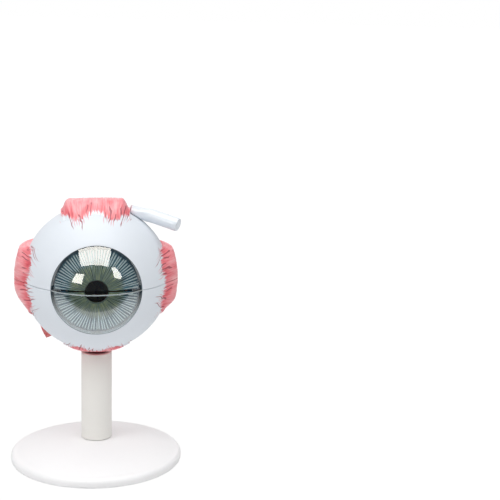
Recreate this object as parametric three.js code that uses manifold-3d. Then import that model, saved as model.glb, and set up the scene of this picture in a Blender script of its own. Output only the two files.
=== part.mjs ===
// Table-top model of a right human eye, three times life size, on a round stand.
// Millimetres, +Z up, origin on the table under the middle of the base. The eye looks along -Y.
// The globe is split level with its middle: shells, iris and muscles come in an upper and a lower half.
import * as THREE from "three";
import { mergeVertices } from "three/addons/utils/BufferGeometryUtils.js";
import Module from "manifold-3d";

// Clearances
const GAP = 0.3; // between two pieces that touch or are glued
const SHELL_GAP = 0.4; // round a nested shell that lifts out

// Stand
const BASE_RADIUS = 44.5;
const BASE_EDGE_HEIGHT = 5; // where the rounded edge meets the domed top
const BASE_DOME_RISE = 6.5;
const BASE_WALL = 2.6;
const BASE_RIM_WIDTH = 3.4; // the ring that stands on the table, with its rounding
const BASE_EDGE_ROUND = 2.6;
const COLUMN_RADIUS = 7.9;
const COLUMN_LANDING = 1; // width of the flat ring round the column's foot
const COLUMN_LENGTH = 46.4;
const COLUMN_WALL = 2.0;
const COLUMN_TOP_WALL = 3.0;
const COLUMN_CHAMFER = 0.4;
const PEG_LENGTH = 12; // the base's peg inside the column
const WEB_THICKNESS = 3; // the wall across the column that takes the screw
const SPIGOT_RADIUS = 4.0;
const SPIGOT_LENGTH = 3.6;
const SCREW_RADIUS = 2.0;
const SCREW_HEAD_RADIUS = 4.0;
const SCREW_HEAD_HEIGHT = 2.6;
const SCREW_SLOT = 0.9;
const SCREW_SLOT_DEPTH = 1.2;
const BOSS_WALL = 2.4; // round the screw head, under the base
const BOSS_CLEARANCE = 1.2; // from the boss to the table

// Globe
const GLOBE_RADIUS = 37.5;
const SCLERA_WALL = 3.0;
const CHOROID_WALL = 1.8;
const RETINA_WALL = 1.0;
const RETINA_EDGE_ANGLE = 67; // degrees from the line of sight, where the retina ends
const PIN_RADIUS = 0.8;
const PIN_GRIP = 2.6; // length of a locating pin in each half
const PIN_BEHIND_LIMBUS = 19; // degrees, from the edge of the cornea back to the front pins
const PIN_REAR_ANGLE = 125; // degrees from the line of sight, where the rear pins are
const SOCKET_RADIUS = 6.0;

// Cornea, iris and lens
const LIMBUS_RADIUS = 22;
const CORNEA_CURVE_RADIUS = 27;
const CORNEA_WALL = 1.6;
const CORNEA_EDGE = 1.1; // height of its upright edge, which drops into the sclera
const CORNEA_LEDGE = 1.2; // width of the ledge that it stands on
const CHOROID_RIM_SETBACK = 1.1; // behind the sclera's inner edge at the opening
const IRIS_THICKNESS = 1.2;
const IRIS_RISE = 4.7;
const IRIS_EDGE = 1.5;
const IRIS_FOOT = 1.6;
const IRIS_CONVEXITY = 1.6;
const PUPIL_RADIUS = 5.5;
const LENS_RADIUS = 14;
const LENS_FRONT_CURVE = 30;
const LENS_REAR_CURVE = 18;
const LENS_EDGE = 1.5;
const LENS_SETBACK = 2.0; // from the back of the pupil's edge to the front of the lens
const LENS_CLEARANCE = 0.9; // round the lens, inside the ciliary ring
const CILIARY_DEPTH = 3.8;
const DISH_DEPTH = 1.1; // of the dish in the vitreous body that holds the back of the lens

// Muscles and optic nerve
const RECTUS_HALF_WIDTH = 16.6;
const RECTUS_THICKNESS = 4.0;
const SUPERIOR_RECTUS_THICKNESS = 3.1;
const SUPERIOR_RECTUS_LEAN = 1; // degrees, towards the temple
const INFERIOR_RECTUS_THICKNESS = 1.2;
const RECTUS_FRONT_ANGLE = 67; // degrees from the line of sight
const RECTUS_NOTCH_ANGLE = 4; // how far its two lobes reach past the middle
const RECTUS_REAR_ANGLE = 128;
const RECTUS_RAMP_ANGLE = 21; // over which the belly reaches its thickness
const RECTUS_SHOULDER = 0.72; // share of its half width at which its edges start to slope
const FRINGE_THICKNESS = 0.3; // of a muscle's thin front edge
const OBLIQUE_HALF_WIDTH = 5;
const OBLIQUE_THICKNESS = 4.1;
const OBLIQUE_START = [-0.7, 0.4, -0.592]; // directions from the globe's middle
const OBLIQUE_END = [-0.67, 0.05, -0.741];
const TENDON_RADIUS = 3.5;
const TENDON_ROOT_HALF_WIDTH = 5.5;
const TENDON_ROOT_HALF_THICKNESS = 1.9;
const TENDON_ROUND_SHARE = 0.5; // share of its length by which it is round
const TENDON_START_BACK = 4; // behind the globe's middle, beside the superior rectus
const TENDON_RUN = 23.7; // along X, to its cut end
const TENDON_DROP = 6.4;
const TENDON_FORWARD = 12;
const NERVE_RADIUS = 3.8;
const NERVE_SHEATH_RADIUS = 6.0;
const NERVE_SHEATH_LENGTH = 6;
const NERVE_STUB_LENGTH = 1.5;
const NERVE_ANGLE = 16; // degrees from straight back towards the nose

// Facets
const GLOBE_SEGMENTS = 36;
const GLOBE_RINGS = 14; // along a half circle
const ROUND_SEGMENTS = 28;
const BASE_SEGMENTS = 44;
const SMALL_SEGMENTS = 12;

// Angles from the line of sight, in degrees
const BACK = 180;

// Heights and radii that follow
const BASE_TOP = BASE_EDGE_HEIGHT + BASE_DOME_RISE;
const COLUMN_FOOT = BASE_TOP + GAP;
const COLUMN_TOP = COLUMN_FOOT + COLUMN_LENGTH;
const COLUMN_BORE = COLUMN_RADIUS - COLUMN_WALL;
const PEG_TOP = BASE_TOP + PEG_LENGTH;
const WEB_FOOT = PEG_TOP + GAP;
const SCREW_HOLE = SCREW_RADIUS + GAP;
const SCREW_HEAD_HOLE = SCREW_HEAD_RADIUS + GAP;
const SCREW_SEAT = BOSS_CLEARANCE + SCREW_HEAD_HEIGHT + 2 * GAP;
const SOCKET_FOOT = COLUMN_TOP + GAP;
const EYE_HEIGHT = SOCKET_FOOT + INFERIOR_RECTUS_THICKNESS + GAP + GLOBE_RADIUS;

const SEAT_RADIUS = GLOBE_RADIUS + GAP; // where everything on the outside of the globe begins
const SCLERA_INNER = GLOBE_RADIUS - SCLERA_WALL;
const CHOROID_OUTER = SCLERA_INNER - SHELL_GAP;
const CHOROID_INNER = CHOROID_OUTER - CHOROID_WALL;
const RETINA_OUTER = CHOROID_INNER - GAP;
const RETINA_INNER = RETINA_OUTER - RETINA_WALL;
const VITREOUS_RADIUS = RETINA_INNER - SHELL_GAP;

// Depths along the line of sight, from the globe's middle
const LIMBUS_DEPTH = leg(GLOBE_RADIUS, LIMBUS_RADIUS);
const CORNEA_FOOT = LIMBUS_DEPTH - CORNEA_EDGE;
const CORNEA_CENTRE = LIMBUS_DEPTH - leg(CORNEA_CURVE_RADIUS, LIMBUS_RADIUS);
const OPENING_RADIUS = LIMBUS_RADIUS - CORNEA_LEDGE;
const IRIS_RADIUS = OPENING_RADIUS - SHELL_GAP;
const CHOROID_RIM = leg(SCLERA_INNER, OPENING_RADIUS) - CHOROID_RIM_SETBACK;
const IRIS_FOOT_DEPTH = CHOROID_RIM + GAP;
const IRIS_ROOT = IRIS_FOOT_DEPTH + IRIS_EDGE;
const IRIS_FRONT = IRIS_ROOT + IRIS_RISE;
const LENS_FRONT = IRIS_FRONT - IRIS_THICKNESS - LENS_SETBACK;
const LENS_EDGE_FRONT = LENS_FRONT - sagitta(LENS_FRONT_CURVE, LENS_RADIUS);
const LENS_EDGE_REAR = LENS_EDGE_FRONT - LENS_EDGE;
const LENS_REAR = LENS_EDGE_REAR - sagitta(LENS_REAR_CURVE, LENS_RADIUS);
const CILIARY_FRONT = CHOROID_RIM - GAP;
const CILIARY_REAR = CILIARY_FRONT - CILIARY_DEPTH;
const CILIARY_RADIUS = LENS_RADIUS + LENS_CLEARANCE;
const DISH_CURVE = LENS_REAR_CURVE + SHELL_GAP;
const DISH_CENTRE = LENS_REAR + LENS_REAR_CURVE;
const VITREOUS_FRONT = DISH_CENTRE - DISH_CURVE + DISH_DEPTH;

const PLASTIC = { roughness: 0.35, metalness: 0 };
const COLOURS = {
  stand: "#efeeec",
  sclera: "#eef1f5",
  clear: "#dfe9ee",
  muscle: "#e0767a",
  tendon: "#e8edf2",
  socket: "#6e1f22",
  choroid: "#7c3b2c",
  retina: "#e08a52",
  iris: "#7f97a0",
  ciliary: "#4a2a20",
  nerve: "#ecd79a",
  steel: "#b9bcc0",
};

const wasm = await Module();
wasm.setup();

// The other leg of a right triangle with this hypotenuse and leg.
function leg(hypotenuse, other) {
  return Math.sqrt(hypotenuse * hypotenuse - other * other);
}

// How far a circle falls away from its tangent at this half chord.
function sagitta(radius, halfChord) {
  return radius - leg(radius, halfChord);
}

// Points [r, depth] on a circle round [0, centre], between two angles from the axis in degrees.
function arc(radius, from, to, steps, centre = 0) {
  return Array.from({ length: steps + 1 }, (_, i) => {
    const angle = THREE.MathUtils.degToRad(from + ((to - from) * i) / steps);
    return [radius * Math.sin(angle), centre + radius * Math.cos(angle)];
  });
}

// The angle from the axis, in degrees, of a point at radius r on a circle.
function angleAt(radius, r) {
  return THREE.MathUtils.radToDeg(Math.asin(r / radius));
}

// A closed three.js geometry as a solid that can be joined and cut.
function toSolid(geometry) {
  const bare = new THREE.BufferGeometry();
  bare.setAttribute("position", geometry.getAttribute("position"));
  bare.setIndex(geometry.index);
  const merged = mergeVertices(bare, 1e-4);
  const corners = [];
  for (let i = 0; i < merged.index.count; i += 3) {
    const [a, b, c] = [0, 1, 2].map((k) => merged.index.getX(i + k));
    if (a !== b && b !== c && c !== a) corners.push(a, b, c);
  }
  return new wasm.Manifold(
    new wasm.Mesh({
      numProp: 3,
      vertProperties: merged.attributes.position.array,
      triVerts: new Uint32Array(corners),
    }),
  );
}

// A solid as a three.js geometry.
function toGeometry(solid) {
  const { vertProperties, triVerts } = solid.getMesh();
  return new THREE.BufferGeometry()
    .setAttribute("position", new THREE.BufferAttribute(vertProperties, 3))
    .setIndex(new THREE.BufferAttribute(triVerts, 1));
}

// A profile of [r, height] points, anticlockwise, turned round the vertical axis.
function turned(profile, segments = ROUND_SEGMENTS) {
  const points = profile.map(([r, height]) => new THREE.Vector2(r, height));
  if (profile[0][0] > 0) points.push(points[0].clone());
  return toSolid(new THREE.LatheGeometry(points, segments).rotateX(Math.PI / 2));
}

// A profile of [r, depth] points, anticlockwise, turned round the line of sight.
function turnedRoundSight(profile, segments = GLOBE_SEGMENTS) {
  const points = profile.map(([r, depth]) => new THREE.Vector2(r, depth));
  if (profile[0][0] > 0) points.push(points[0].clone());
  return toSolid(new THREE.LatheGeometry(points, segments).rotateX(Math.PI));
}

// An upright cylinder that starts at this height.
function upright(radius, foot, height, segments = ROUND_SEGMENTS) {
  const shape = new THREE.CylinderGeometry(radius, radius, height, segments);
  return toSolid(shape.rotateX(Math.PI / 2).translate(0, 0, foot + height / 2));
}

// The ball that glued-on pieces are cut by, so that they fit the globe.
function seatBall() {
  const ball = new THREE.SphereGeometry(SEAT_RADIUS, GLOBE_SEGMENTS, GLOBE_SEGMENTS / 2);
  return toSolid(ball.rotateX(Math.PI / 2));
}

// A solid of the globe, split level with its middle into an upper and a lower half.
function halves(whole) {
  const reach = 4 * GLOBE_RADIUS;
  const block = (middle) =>
    toSolid(new THREE.BoxGeometry(reach, reach, reach).translate(0, 0, middle));
  const offset = (reach + GAP) / 2;
  return { upper: whole.intersect(block(offset)), lower: whole.intersect(block(-offset)) };
}

// Height of the base's domed top at radius r.
function domeTop(r) {
  const seat = COLUMN_RADIUS + COLUMN_LANDING;
  const edge = BASE_RADIUS - BASE_EDGE_ROUND;
  const out = Math.max(0, (r - seat) / (edge - seat));
  return BASE_EDGE_HEIGHT + BASE_DOME_RISE * (1 - out * out);
}

function baseDisc() {
  const domeSteps = 5;
  const roundSteps = 3;
  const outerEdge = BASE_RADIUS - BASE_EDGE_ROUND;
  const rimInner = BASE_RADIUS - BASE_RIM_WIDTH;
  const bossRadius = SCREW_HEAD_HOLE + BOSS_WALL;
  const footRound = 1.5;
  const edge = [
    [BASE_RADIUS - footRound, 0],
    [BASE_RADIUS - 0.3 * footRound, 0.3 * footRound],
    [BASE_RADIUS, footRound],
    ...Array.from({ length: roundSteps }, (_, i) => {
      const turn = (Math.PI / 2) * (i / roundSteps);
      const rise = BASE_EDGE_HEIGHT - BASE_EDGE_ROUND;
      return [
        outerEdge + BASE_EDGE_ROUND * Math.cos(turn),
        rise + BASE_EDGE_ROUND * Math.sin(turn),
      ];
    }),
  ];
  const between = (from, to, i) => from + ((to - from) * i) / domeSteps;
  const top = Array.from({ length: domeSteps + 1 }, (_, i) => {
    const r = between(outerEdge, COLUMN_RADIUS + COLUMN_LANDING, i);
    return [r, domeTop(r)];
  });
  const ceiling = Array.from({ length: domeSteps + 1 }, (_, i) => {
    const r = between(bossRadius, rimInner, i);
    return [r, domeTop(r) - BASE_WALL];
  });
  return turned(
    [
      [rimInner, 0],
      ...edge,
      ...top,
      [COLUMN_BORE - GAP, BASE_TOP],
      [COLUMN_BORE - GAP, PEG_TOP],
      [SCREW_HOLE, PEG_TOP],
      [SCREW_HOLE, SCREW_SEAT],
      [SCREW_HEAD_HOLE, SCREW_SEAT],
      [SCREW_HEAD_HOLE, BOSS_CLEARANCE],
      [bossRadius, BOSS_CLEARANCE],
      ...ceiling,
    ],
    BASE_SEGMENTS,
  );
}

function column() {
  const bore = COLUMN_BORE;
  const ceiling = COLUMN_TOP - COLUMN_TOP_WALL;
  return turned([
    [0, ceiling],
    [bore, ceiling],
    [bore, WEB_FOOT + WEB_THICKNESS],
    [SCREW_HOLE, WEB_FOOT + WEB_THICKNESS],
    [SCREW_HOLE, WEB_FOOT],
    [bore, WEB_FOOT],
    [bore, COLUMN_FOOT],
    [COLUMN_RADIUS, COLUMN_FOOT],
    [COLUMN_RADIUS, COLUMN_TOP - COLUMN_CHAMFER],
    [COLUMN_RADIUS - COLUMN_CHAMFER, COLUMN_TOP],
    [SPIGOT_RADIUS, COLUMN_TOP],
    [SPIGOT_RADIUS, COLUMN_TOP + SPIGOT_LENGTH - COLUMN_CHAMFER],
    [SPIGOT_RADIUS - COLUMN_CHAMFER, COLUMN_TOP + SPIGOT_LENGTH],
    [0, COLUMN_TOP + SPIGOT_LENGTH],
  ]);
}

function columnScrew() {
  const headTop = SCREW_SEAT - GAP;
  const headFoot = headTop - SCREW_HEAD_HEIGHT;
  const tip = WEB_FOOT + WEB_THICKNESS;
  const body = turned(
    [
      [0, headFoot],
      [0.7 * SCREW_HEAD_RADIUS, headFoot],
      [SCREW_HEAD_RADIUS, headFoot + 0.4 * SCREW_HEAD_HEIGHT],
      [SCREW_HEAD_RADIUS, headTop],
      [SCREW_RADIUS, headTop],
      [SCREW_RADIUS, tip - SCREW_RADIUS],
      [0, tip],
    ],
    2 * SMALL_SEGMENTS,
  );
  const slot = (turn) =>
    toSolid(
      new THREE.BoxGeometry(1.3 * SCREW_HEAD_RADIUS, SCREW_SLOT, 2 * SCREW_SLOT_DEPTH)
        .rotateZ(turn)
        .translate(0, 0, headFoot),
    );
  return body.subtract(slot(0)).subtract(slot(Math.PI / 2));
}

// The bush in the underside of the globe that drops over the column's spigot.
function standSocket() {
  const foot = SOCKET_FOOT - EYE_HEIGHT;
  const top = -leg(SCLERA_INNER, SOCKET_RADIUS) - GAP;
  const hole = SPIGOT_RADIUS + GAP;
  return turned([
    [hole, foot],
    [SOCKET_RADIUS, foot],
    [SOCKET_RADIUS, top],
    [hole, top],
  ]);
}

// What the socket's hole takes out of the sclera and the muscle under it.
function socketHole() {
  return upright(SOCKET_RADIUS + GAP, -2 * GLOBE_RADIUS, 2 * GLOBE_RADIUS - SCLERA_INNER / 2);
}

// Where the locating pins stand on the seam, two in front and two at the back.
function rimPlaces() {
  const r = GLOBE_RADIUS - SCLERA_WALL / 2;
  const front = angleAt(GLOBE_RADIUS, LIMBUS_RADIUS) + PIN_BEHIND_LIMBUS;
  return [front, PIN_REAR_ANGLE].flatMap((angle) => {
    const turn = THREE.MathUtils.degToRad(angle);
    return [1, -1].map((side) => [side * r * Math.sin(turn), -r * Math.cos(turn)]);
  });
}

function scleraHalves() {
  const outerAngle = angleAt(GLOBE_RADIUS, LIMBUS_RADIUS + GAP);
  const innerAngle = angleAt(SCLERA_INNER, OPENING_RADIUS);
  const seat = CORNEA_FOOT - GAP;
  const whole = turnedRoundSight([
    ...arc(GLOBE_RADIUS, BACK, outerAngle, GLOBE_RINGS),
    [LIMBUS_RADIUS + GAP, seat],
    [OPENING_RADIUS, seat],
    ...arc(SCLERA_INNER, innerAngle, BACK, GLOBE_RINGS),
  ]).subtract(socketHole());
  const pinHole = PIN_RADIUS + GAP;
  const depth = PIN_GRIP + 2 * GAP;
  return rimPlaces().reduce(
    ({ upper, lower }, [x, y]) => {
      const hole = upright(pinHole, -depth, 2 * depth, SMALL_SEGMENTS).translate([x, y, 0]);
      return { upper: upper.subtract(hole), lower: lower.subtract(hole) };
    },
    halves(whole),
  );
}

function locatingPin([x, y]) {
  return upright(PIN_RADIUS, -PIN_GRIP, 2 * PIN_GRIP, SMALL_SEGMENTS).translate([x, y, 0]);
}

function corneaHalves() {
  const inner = CORNEA_CURVE_RADIUS - CORNEA_WALL;
  const footRadius = leg(inner, CORNEA_FOOT - CORNEA_CENTRE);
  const steps = 7;
  const limbusAngle = angleAt(CORNEA_CURVE_RADIUS, LIMBUS_RADIUS);
  const footAngle = angleAt(inner, footRadius);
  return halves(
    turnedRoundSight([
      ...arc(inner, 0, footAngle, steps, CORNEA_CENTRE),
      [LIMBUS_RADIUS, CORNEA_FOOT],
      ...arc(CORNEA_CURVE_RADIUS, limbusAngle, 0, steps, CORNEA_CENTRE),
    ]),
  );
}

function choroidHalves() {
  const rimAngle = (radius) => angleAt(radius, leg(radius, CHOROID_RIM));
  return halves(
    turnedRoundSight([
      ...arc(CHOROID_OUTER, BACK, rimAngle(CHOROID_OUTER), GLOBE_RINGS - 2),
      ...arc(CHOROID_INNER, rimAngle(CHOROID_INNER), BACK, GLOBE_RINGS - 2),
    ]),
  );
}

function retinaHalves() {
  return halves(
    turnedRoundSight([
      ...arc(RETINA_OUTER, BACK, RETINA_EDGE_ANGLE, GLOBE_RINGS - 4),
      ...arc(RETINA_INNER, RETINA_EDGE_ANGLE, BACK, GLOBE_RINGS - 4),
    ]),
  );
}

// The ciliary body: a thin band in front of the retina that swells into the ring round the lens.
function ciliaryHalves() {
  const bandAngle = RETINA_EDGE_ANGLE - 1;
  const frontAngle = angleAt(RETINA_OUTER, leg(RETINA_OUTER, CILIARY_FRONT));
  const rearAngle = angleAt(RETINA_INNER, leg(RETINA_INNER, CILIARY_REAR));
  const lip = 0.25 * CILIARY_DEPTH;
  return halves(
    turnedRoundSight([
      ...arc(RETINA_OUTER, bandAngle, frontAngle, 4),
      [CILIARY_RADIUS + lip, CILIARY_FRONT],
      [CILIARY_RADIUS, CILIARY_FRONT - lip],
      [CILIARY_RADIUS, CILIARY_REAR + lip],
      [CILIARY_RADIUS + lip, CILIARY_REAR],
      ...arc(RETINA_INNER, rearAngle, bandAngle, 3),
    ]),
  );
}

function irisHalves() {
  const steps = 5;
  const front = (r) => {
    const out = THREE.MathUtils.clamp((r - PUPIL_RADIUS) / (IRIS_RADIUS - PUPIL_RADIUS), 0, 1);
    return IRIS_ROOT + IRIS_RISE * (1 - out ** IRIS_CONVEXITY);
  };
  const across = (from, to, lift) =>
    Array.from({ length: steps + 1 }, (_, i) => {
      const r = from + ((to - from) * i) / steps;
      return [r, front(r) + lift];
    });
  const footInner = IRIS_RADIUS - IRIS_FOOT;
  return halves(
    turnedRoundSight([
      [footInner, IRIS_FOOT_DEPTH],
      [IRIS_RADIUS, IRIS_FOOT_DEPTH],
      ...across(IRIS_RADIUS, PUPIL_RADIUS, 0),
      ...across(PUPIL_RADIUS, footInner, -IRIS_THICKNESS),
    ]),
  );
}

function lens() {
  const steps = 6;
  const rear = angleAt(LENS_REAR_CURVE, LENS_RADIUS);
  const front = angleAt(LENS_FRONT_CURVE, LENS_RADIUS);
  return turnedRoundSight(
    [
      ...arc(LENS_REAR_CURVE, BACK, BACK - rear, steps, LENS_REAR + LENS_REAR_CURVE),
      ...arc(LENS_FRONT_CURVE, front, 0, steps, LENS_FRONT - LENS_FRONT_CURVE),
    ],
    ROUND_SEGMENTS,
  );
}

// The vitreous body: a clear ball, cut off in front, with a dish for the back of the lens.
function vitreousBody() {
  const dishRadius = leg(DISH_CURVE, DISH_CURVE - DISH_DEPTH);
  const frontAngle = angleAt(VITREOUS_RADIUS, leg(VITREOUS_RADIUS, VITREOUS_FRONT));
  return turnedRoundSight([
    ...arc(VITREOUS_RADIUS, BACK, frontAngle, GLOBE_RINGS - 3),
    ...arc(DISH_CURVE, BACK - angleAt(DISH_CURVE, dishRadius), BACK, 3, DISH_CENTRE),
  ]);
}

// A strap of muscle laid on the globe along the great circle from `from` towards `to`.
// `start` and `end` give its angles in degrees at the cross position v (-1 to 1), and
// `thickness` its height there.
function strap({ from, to, halfWidth, start, end, thickness, steps = 9, lanes = 10 }) {
  const along = new THREE.Vector3(...from).normalize();
  const towards = new THREE.Vector3(...to);
  towards.addScaledVector(along, -towards.dot(along)).normalize();
  const across = new THREE.Vector3().crossVectors(along, towards);
  const halfAngle = Math.asin(halfWidth / GLOBE_RADIUS);
  const positions = [];
  for (const outer of [true, false]) {
    for (let i = 0; i <= steps; i++) {
      for (let j = 0; j <= lanes; j++) {
        const v = (2 * j) / lanes - 1;
        const degrees = start(v) + ((end - start(v)) * i) / steps;
        const angle = THREE.MathUtils.degToRad(degrees);
        const side = v * halfAngle;
        const radius = SEAT_RADIUS + (outer ? thickness(degrees - start(v), v, side) : 0);
        const point = along
          .clone()
          .multiplyScalar(Math.cos(angle))
          .addScaledVector(towards, Math.sin(angle))
          .multiplyScalar(Math.cos(side))
          .addScaledVector(across, Math.sin(side))
          .multiplyScalar(radius);
        positions.push(point.x, point.y, point.z);
      }
    }
  }
  return toSolid(closedGrid(positions, steps + 1, lanes + 1));
}

// Two grids of rows by columns points, one above the other, closed round their edge.
function closedGrid(positions, rows, columns) {
  const at = (layer, i, j) => layer * rows * columns + i * columns + j;
  const corners = [];
  const quad = (a, b, c, d) => corners.push(a, b, c, a, c, d);
  for (let i = 0; i < rows - 1; i++) {
    for (let j = 0; j < columns - 1; j++) {
      quad(at(0, i, j), at(0, i + 1, j), at(0, i + 1, j + 1), at(0, i, j + 1));
      quad(at(1, i, j), at(1, i, j + 1), at(1, i + 1, j + 1), at(1, i + 1, j));
    }
    const last = columns - 1;
    quad(at(0, i, 0), at(1, i, 0), at(1, i + 1, 0), at(0, i + 1, 0));
    quad(at(0, i, last), at(0, i + 1, last), at(1, i + 1, last), at(1, i, last));
  }
  for (let j = 0; j < columns - 1; j++) {
    const last = rows - 1;
    quad(at(0, 0, j), at(0, 0, j + 1), at(1, 0, j + 1), at(1, 0, j));
    quad(at(0, last, j), at(1, last, j), at(1, last, j + 1), at(0, last, j + 1));
  }
  const grid = new THREE.BufferGeometry();
  grid.setAttribute("position", new THREE.Float32BufferAttribute(positions, 3));
  grid.setIndex(corners);
  return grid;
}

// One of the four straight muscles, from its two-lobed front edge to its cut rear end.
// `flat` is 0 where its outside follows the globe, and 1 where it is level across.
function rectus(towards, belly, flat) {
  return strap({
    from: [0, -1, 0],
    to: towards,
    halfWidth: RECTUS_HALF_WIDTH,
    start: (v) => RECTUS_FRONT_ANGLE - RECTUS_NOTCH_ANGLE * Math.sin(Math.PI * v) ** 2,
    end: RECTUS_REAR_ANGLE,
    thickness: (travelled, v, side) => {
      const grown = THREE.MathUtils.smoothstep(travelled, 0, RECTUS_RAMP_ANGLE);
      const rounded = 1 - 0.8 * THREE.MathUtils.smoothstep(Math.abs(v), RECTUS_SHOULDER, 1);
      const level = flat * (SEAT_RADIUS + belly) * (1 / Math.cos(side) - 1);
      return FRINGE_THICKNESS + (belly - FRINGE_THICKNESS + level) * grown * rounded;
    },
  });
}

function superiorRectus() {
  const lean = THREE.MathUtils.degToRad(SUPERIOR_RECTUS_LEAN);
  return rectus([-Math.sin(lean), 0, Math.cos(lean)], SUPERIOR_RECTUS_THICKNESS, 0.9);
}

function inferiorOblique() {
  const length = THREE.MathUtils.radToDeg(
    new THREE.Vector3(...OBLIQUE_START).angleTo(new THREE.Vector3(...OBLIQUE_END)),
  );
  return strap({
    from: OBLIQUE_START,
    to: OBLIQUE_END,
    halfWidth: OBLIQUE_HALF_WIDTH,
    start: () => 0,
    end: length,
    steps: 6,
    lanes: 6,
    thickness: (travelled, v) => {
      const grown = THREE.MathUtils.smoothstep(travelled, 0, length);
      return FRINGE_THICKNESS + (OBLIQUE_THICKNESS - FRINGE_THICKNESS) * grown * (1 - 0.5 * v * v);
    },
  });
}

// The tendon of the superior oblique: flat where it comes out from under the superior rectus,
// with its root face along the muscle's edge, and round at its cut end.
function superiorObliqueTendon() {
  const lean = THREE.MathUtils.degToRad(SUPERIOR_RECTUS_LEAN);
  const tilt = Math.asin((RECTUS_HALF_WIDTH + 2 * GAP) / GLOBE_RADIUS) - lean;
  const reach = leg(SEAT_RADIUS + TENDON_ROOT_HALF_THICKNESS - GAP, TENDON_START_BACK);
  const root = new THREE.Vector3(
    reach * Math.sin(tilt),
    TENDON_START_BACK,
    reach * Math.cos(tilt),
  );
  const end = root.clone().add(new THREE.Vector3(TENDON_RUN, -TENDON_FORWARD, -TENDON_DROP));
  const axis = end.clone().sub(root).normalize();
  const outwards = root.clone().normalize();
  const forwards = new THREE.Vector3(0, -1, 0);
  const squareWide = new THREE.Vector3().crossVectors(axis, outwards).normalize();
  const squareThick = new THREE.Vector3().crossVectors(squareWide, axis);
  const sections = 6;
  const sides = 16;
  const ring = (share) => {
    const round = THREE.MathUtils.smoothstep(share, 0, TENDON_ROUND_SHARE);
    const halfWidth = THREE.MathUtils.lerp(TENDON_ROOT_HALF_WIDTH, TENDON_RADIUS, round);
    const halfThickness = THREE.MathUtils.lerp(TENDON_ROOT_HALF_THICKNESS, TENDON_RADIUS, round);
    const wide = forwards.clone().lerp(squareWide, round).normalize();
    const thick = outwards.clone().lerp(squareThick, round).normalize();
    const middle = root.clone().lerp(end, share);
    return Array.from({ length: sides }, (_, i) => {
      const turn = (2 * Math.PI * i) / sides;
      return middle
        .clone()
        .addScaledVector(wide, halfWidth * Math.cos(turn))
        .addScaledVector(thick, halfThickness * Math.sin(turn));
    });
  };
  const rings = Array.from({ length: sections + 1 }, (_, i) => ring(i / sections));
  return toSolid(loft(rings)).subtract(seatBall());
}

// Rings of equally many points, joined in order and closed by a fan at each end.
function loft(rings) {
  const sides = rings[0].length;
  const points = [...rings.flat(), centroid(rings[0]), centroid(rings.at(-1))];
  const corners = [];
  const startMiddle = rings.length * sides;
  for (let i = 0; i < sides; i++) {
    const next = (i + 1) % sides;
    for (let k = 0; k < rings.length - 1; k++) {
      const [a, b] = [k * sides + i, k * sides + next];
      corners.push(a, b + sides, b, a, a + sides, b + sides);
    }
    const lastRing = (rings.length - 1) * sides;
    corners.push(startMiddle, i, next, startMiddle + 1, lastRing + next, lastRing + i);
  }
  const shape = new THREE.BufferGeometry();
  shape.setAttribute(
    "position",
    new THREE.Float32BufferAttribute(points.flatMap((p) => p.toArray()), 3),
  );
  shape.setIndex(corners);
  return shape;
}

function centroid(points) {
  const sum = points.reduce((total, p) => total.add(p), new THREE.Vector3());
  return sum.divideScalar(points.length);
}

// The optic nerve's stub: its sheath, and the nerve that stands out of the sheath's cut end.
function nerveHalves() {
  const start = GLOBE_RADIUS - SCLERA_WALL;
  const sheathEnd = GLOBE_RADIUS + NERVE_SHEATH_LENGTH;
  const nerveEnd = sheathEnd + NERVE_STUB_LENGTH;
  const shape = new THREE.LatheGeometry(
    [
      [0, start],
      [NERVE_SHEATH_RADIUS, start],
      [NERVE_SHEATH_RADIUS, sheathEnd],
      [NERVE_RADIUS, sheathEnd],
      [NERVE_RADIUS, nerveEnd],
      [0, nerveEnd],
    ].map(([r, height]) => new THREE.Vector2(r, height)),
    2 * SMALL_SEGMENTS,
  );
  const nerve = toSolid(shape.rotateZ(-THREE.MathUtils.degToRad(NERVE_ANGLE)));
  return halves(nerve.subtract(seatBall()));
}

// One named mesh, with its colour.
function piece(name, solid, colour, finish = PLASTIC) {
  const material = new THREE.MeshStandardMaterial({ color: COLOURS[colour], ...finish });
  const mesh = new THREE.Mesh(toGeometry(solid), material);
  mesh.name = name;
  return mesh;
}

function stand() {
  const group = new THREE.Group();
  group.add(
    piece("base_disc", baseDisc(), "stand"),
    piece("column", column(), "stand"),
    piece("column_screw", columnScrew(), "steel", { roughness: 0.3, metalness: 1 }),
  );
  return group;
}

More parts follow.
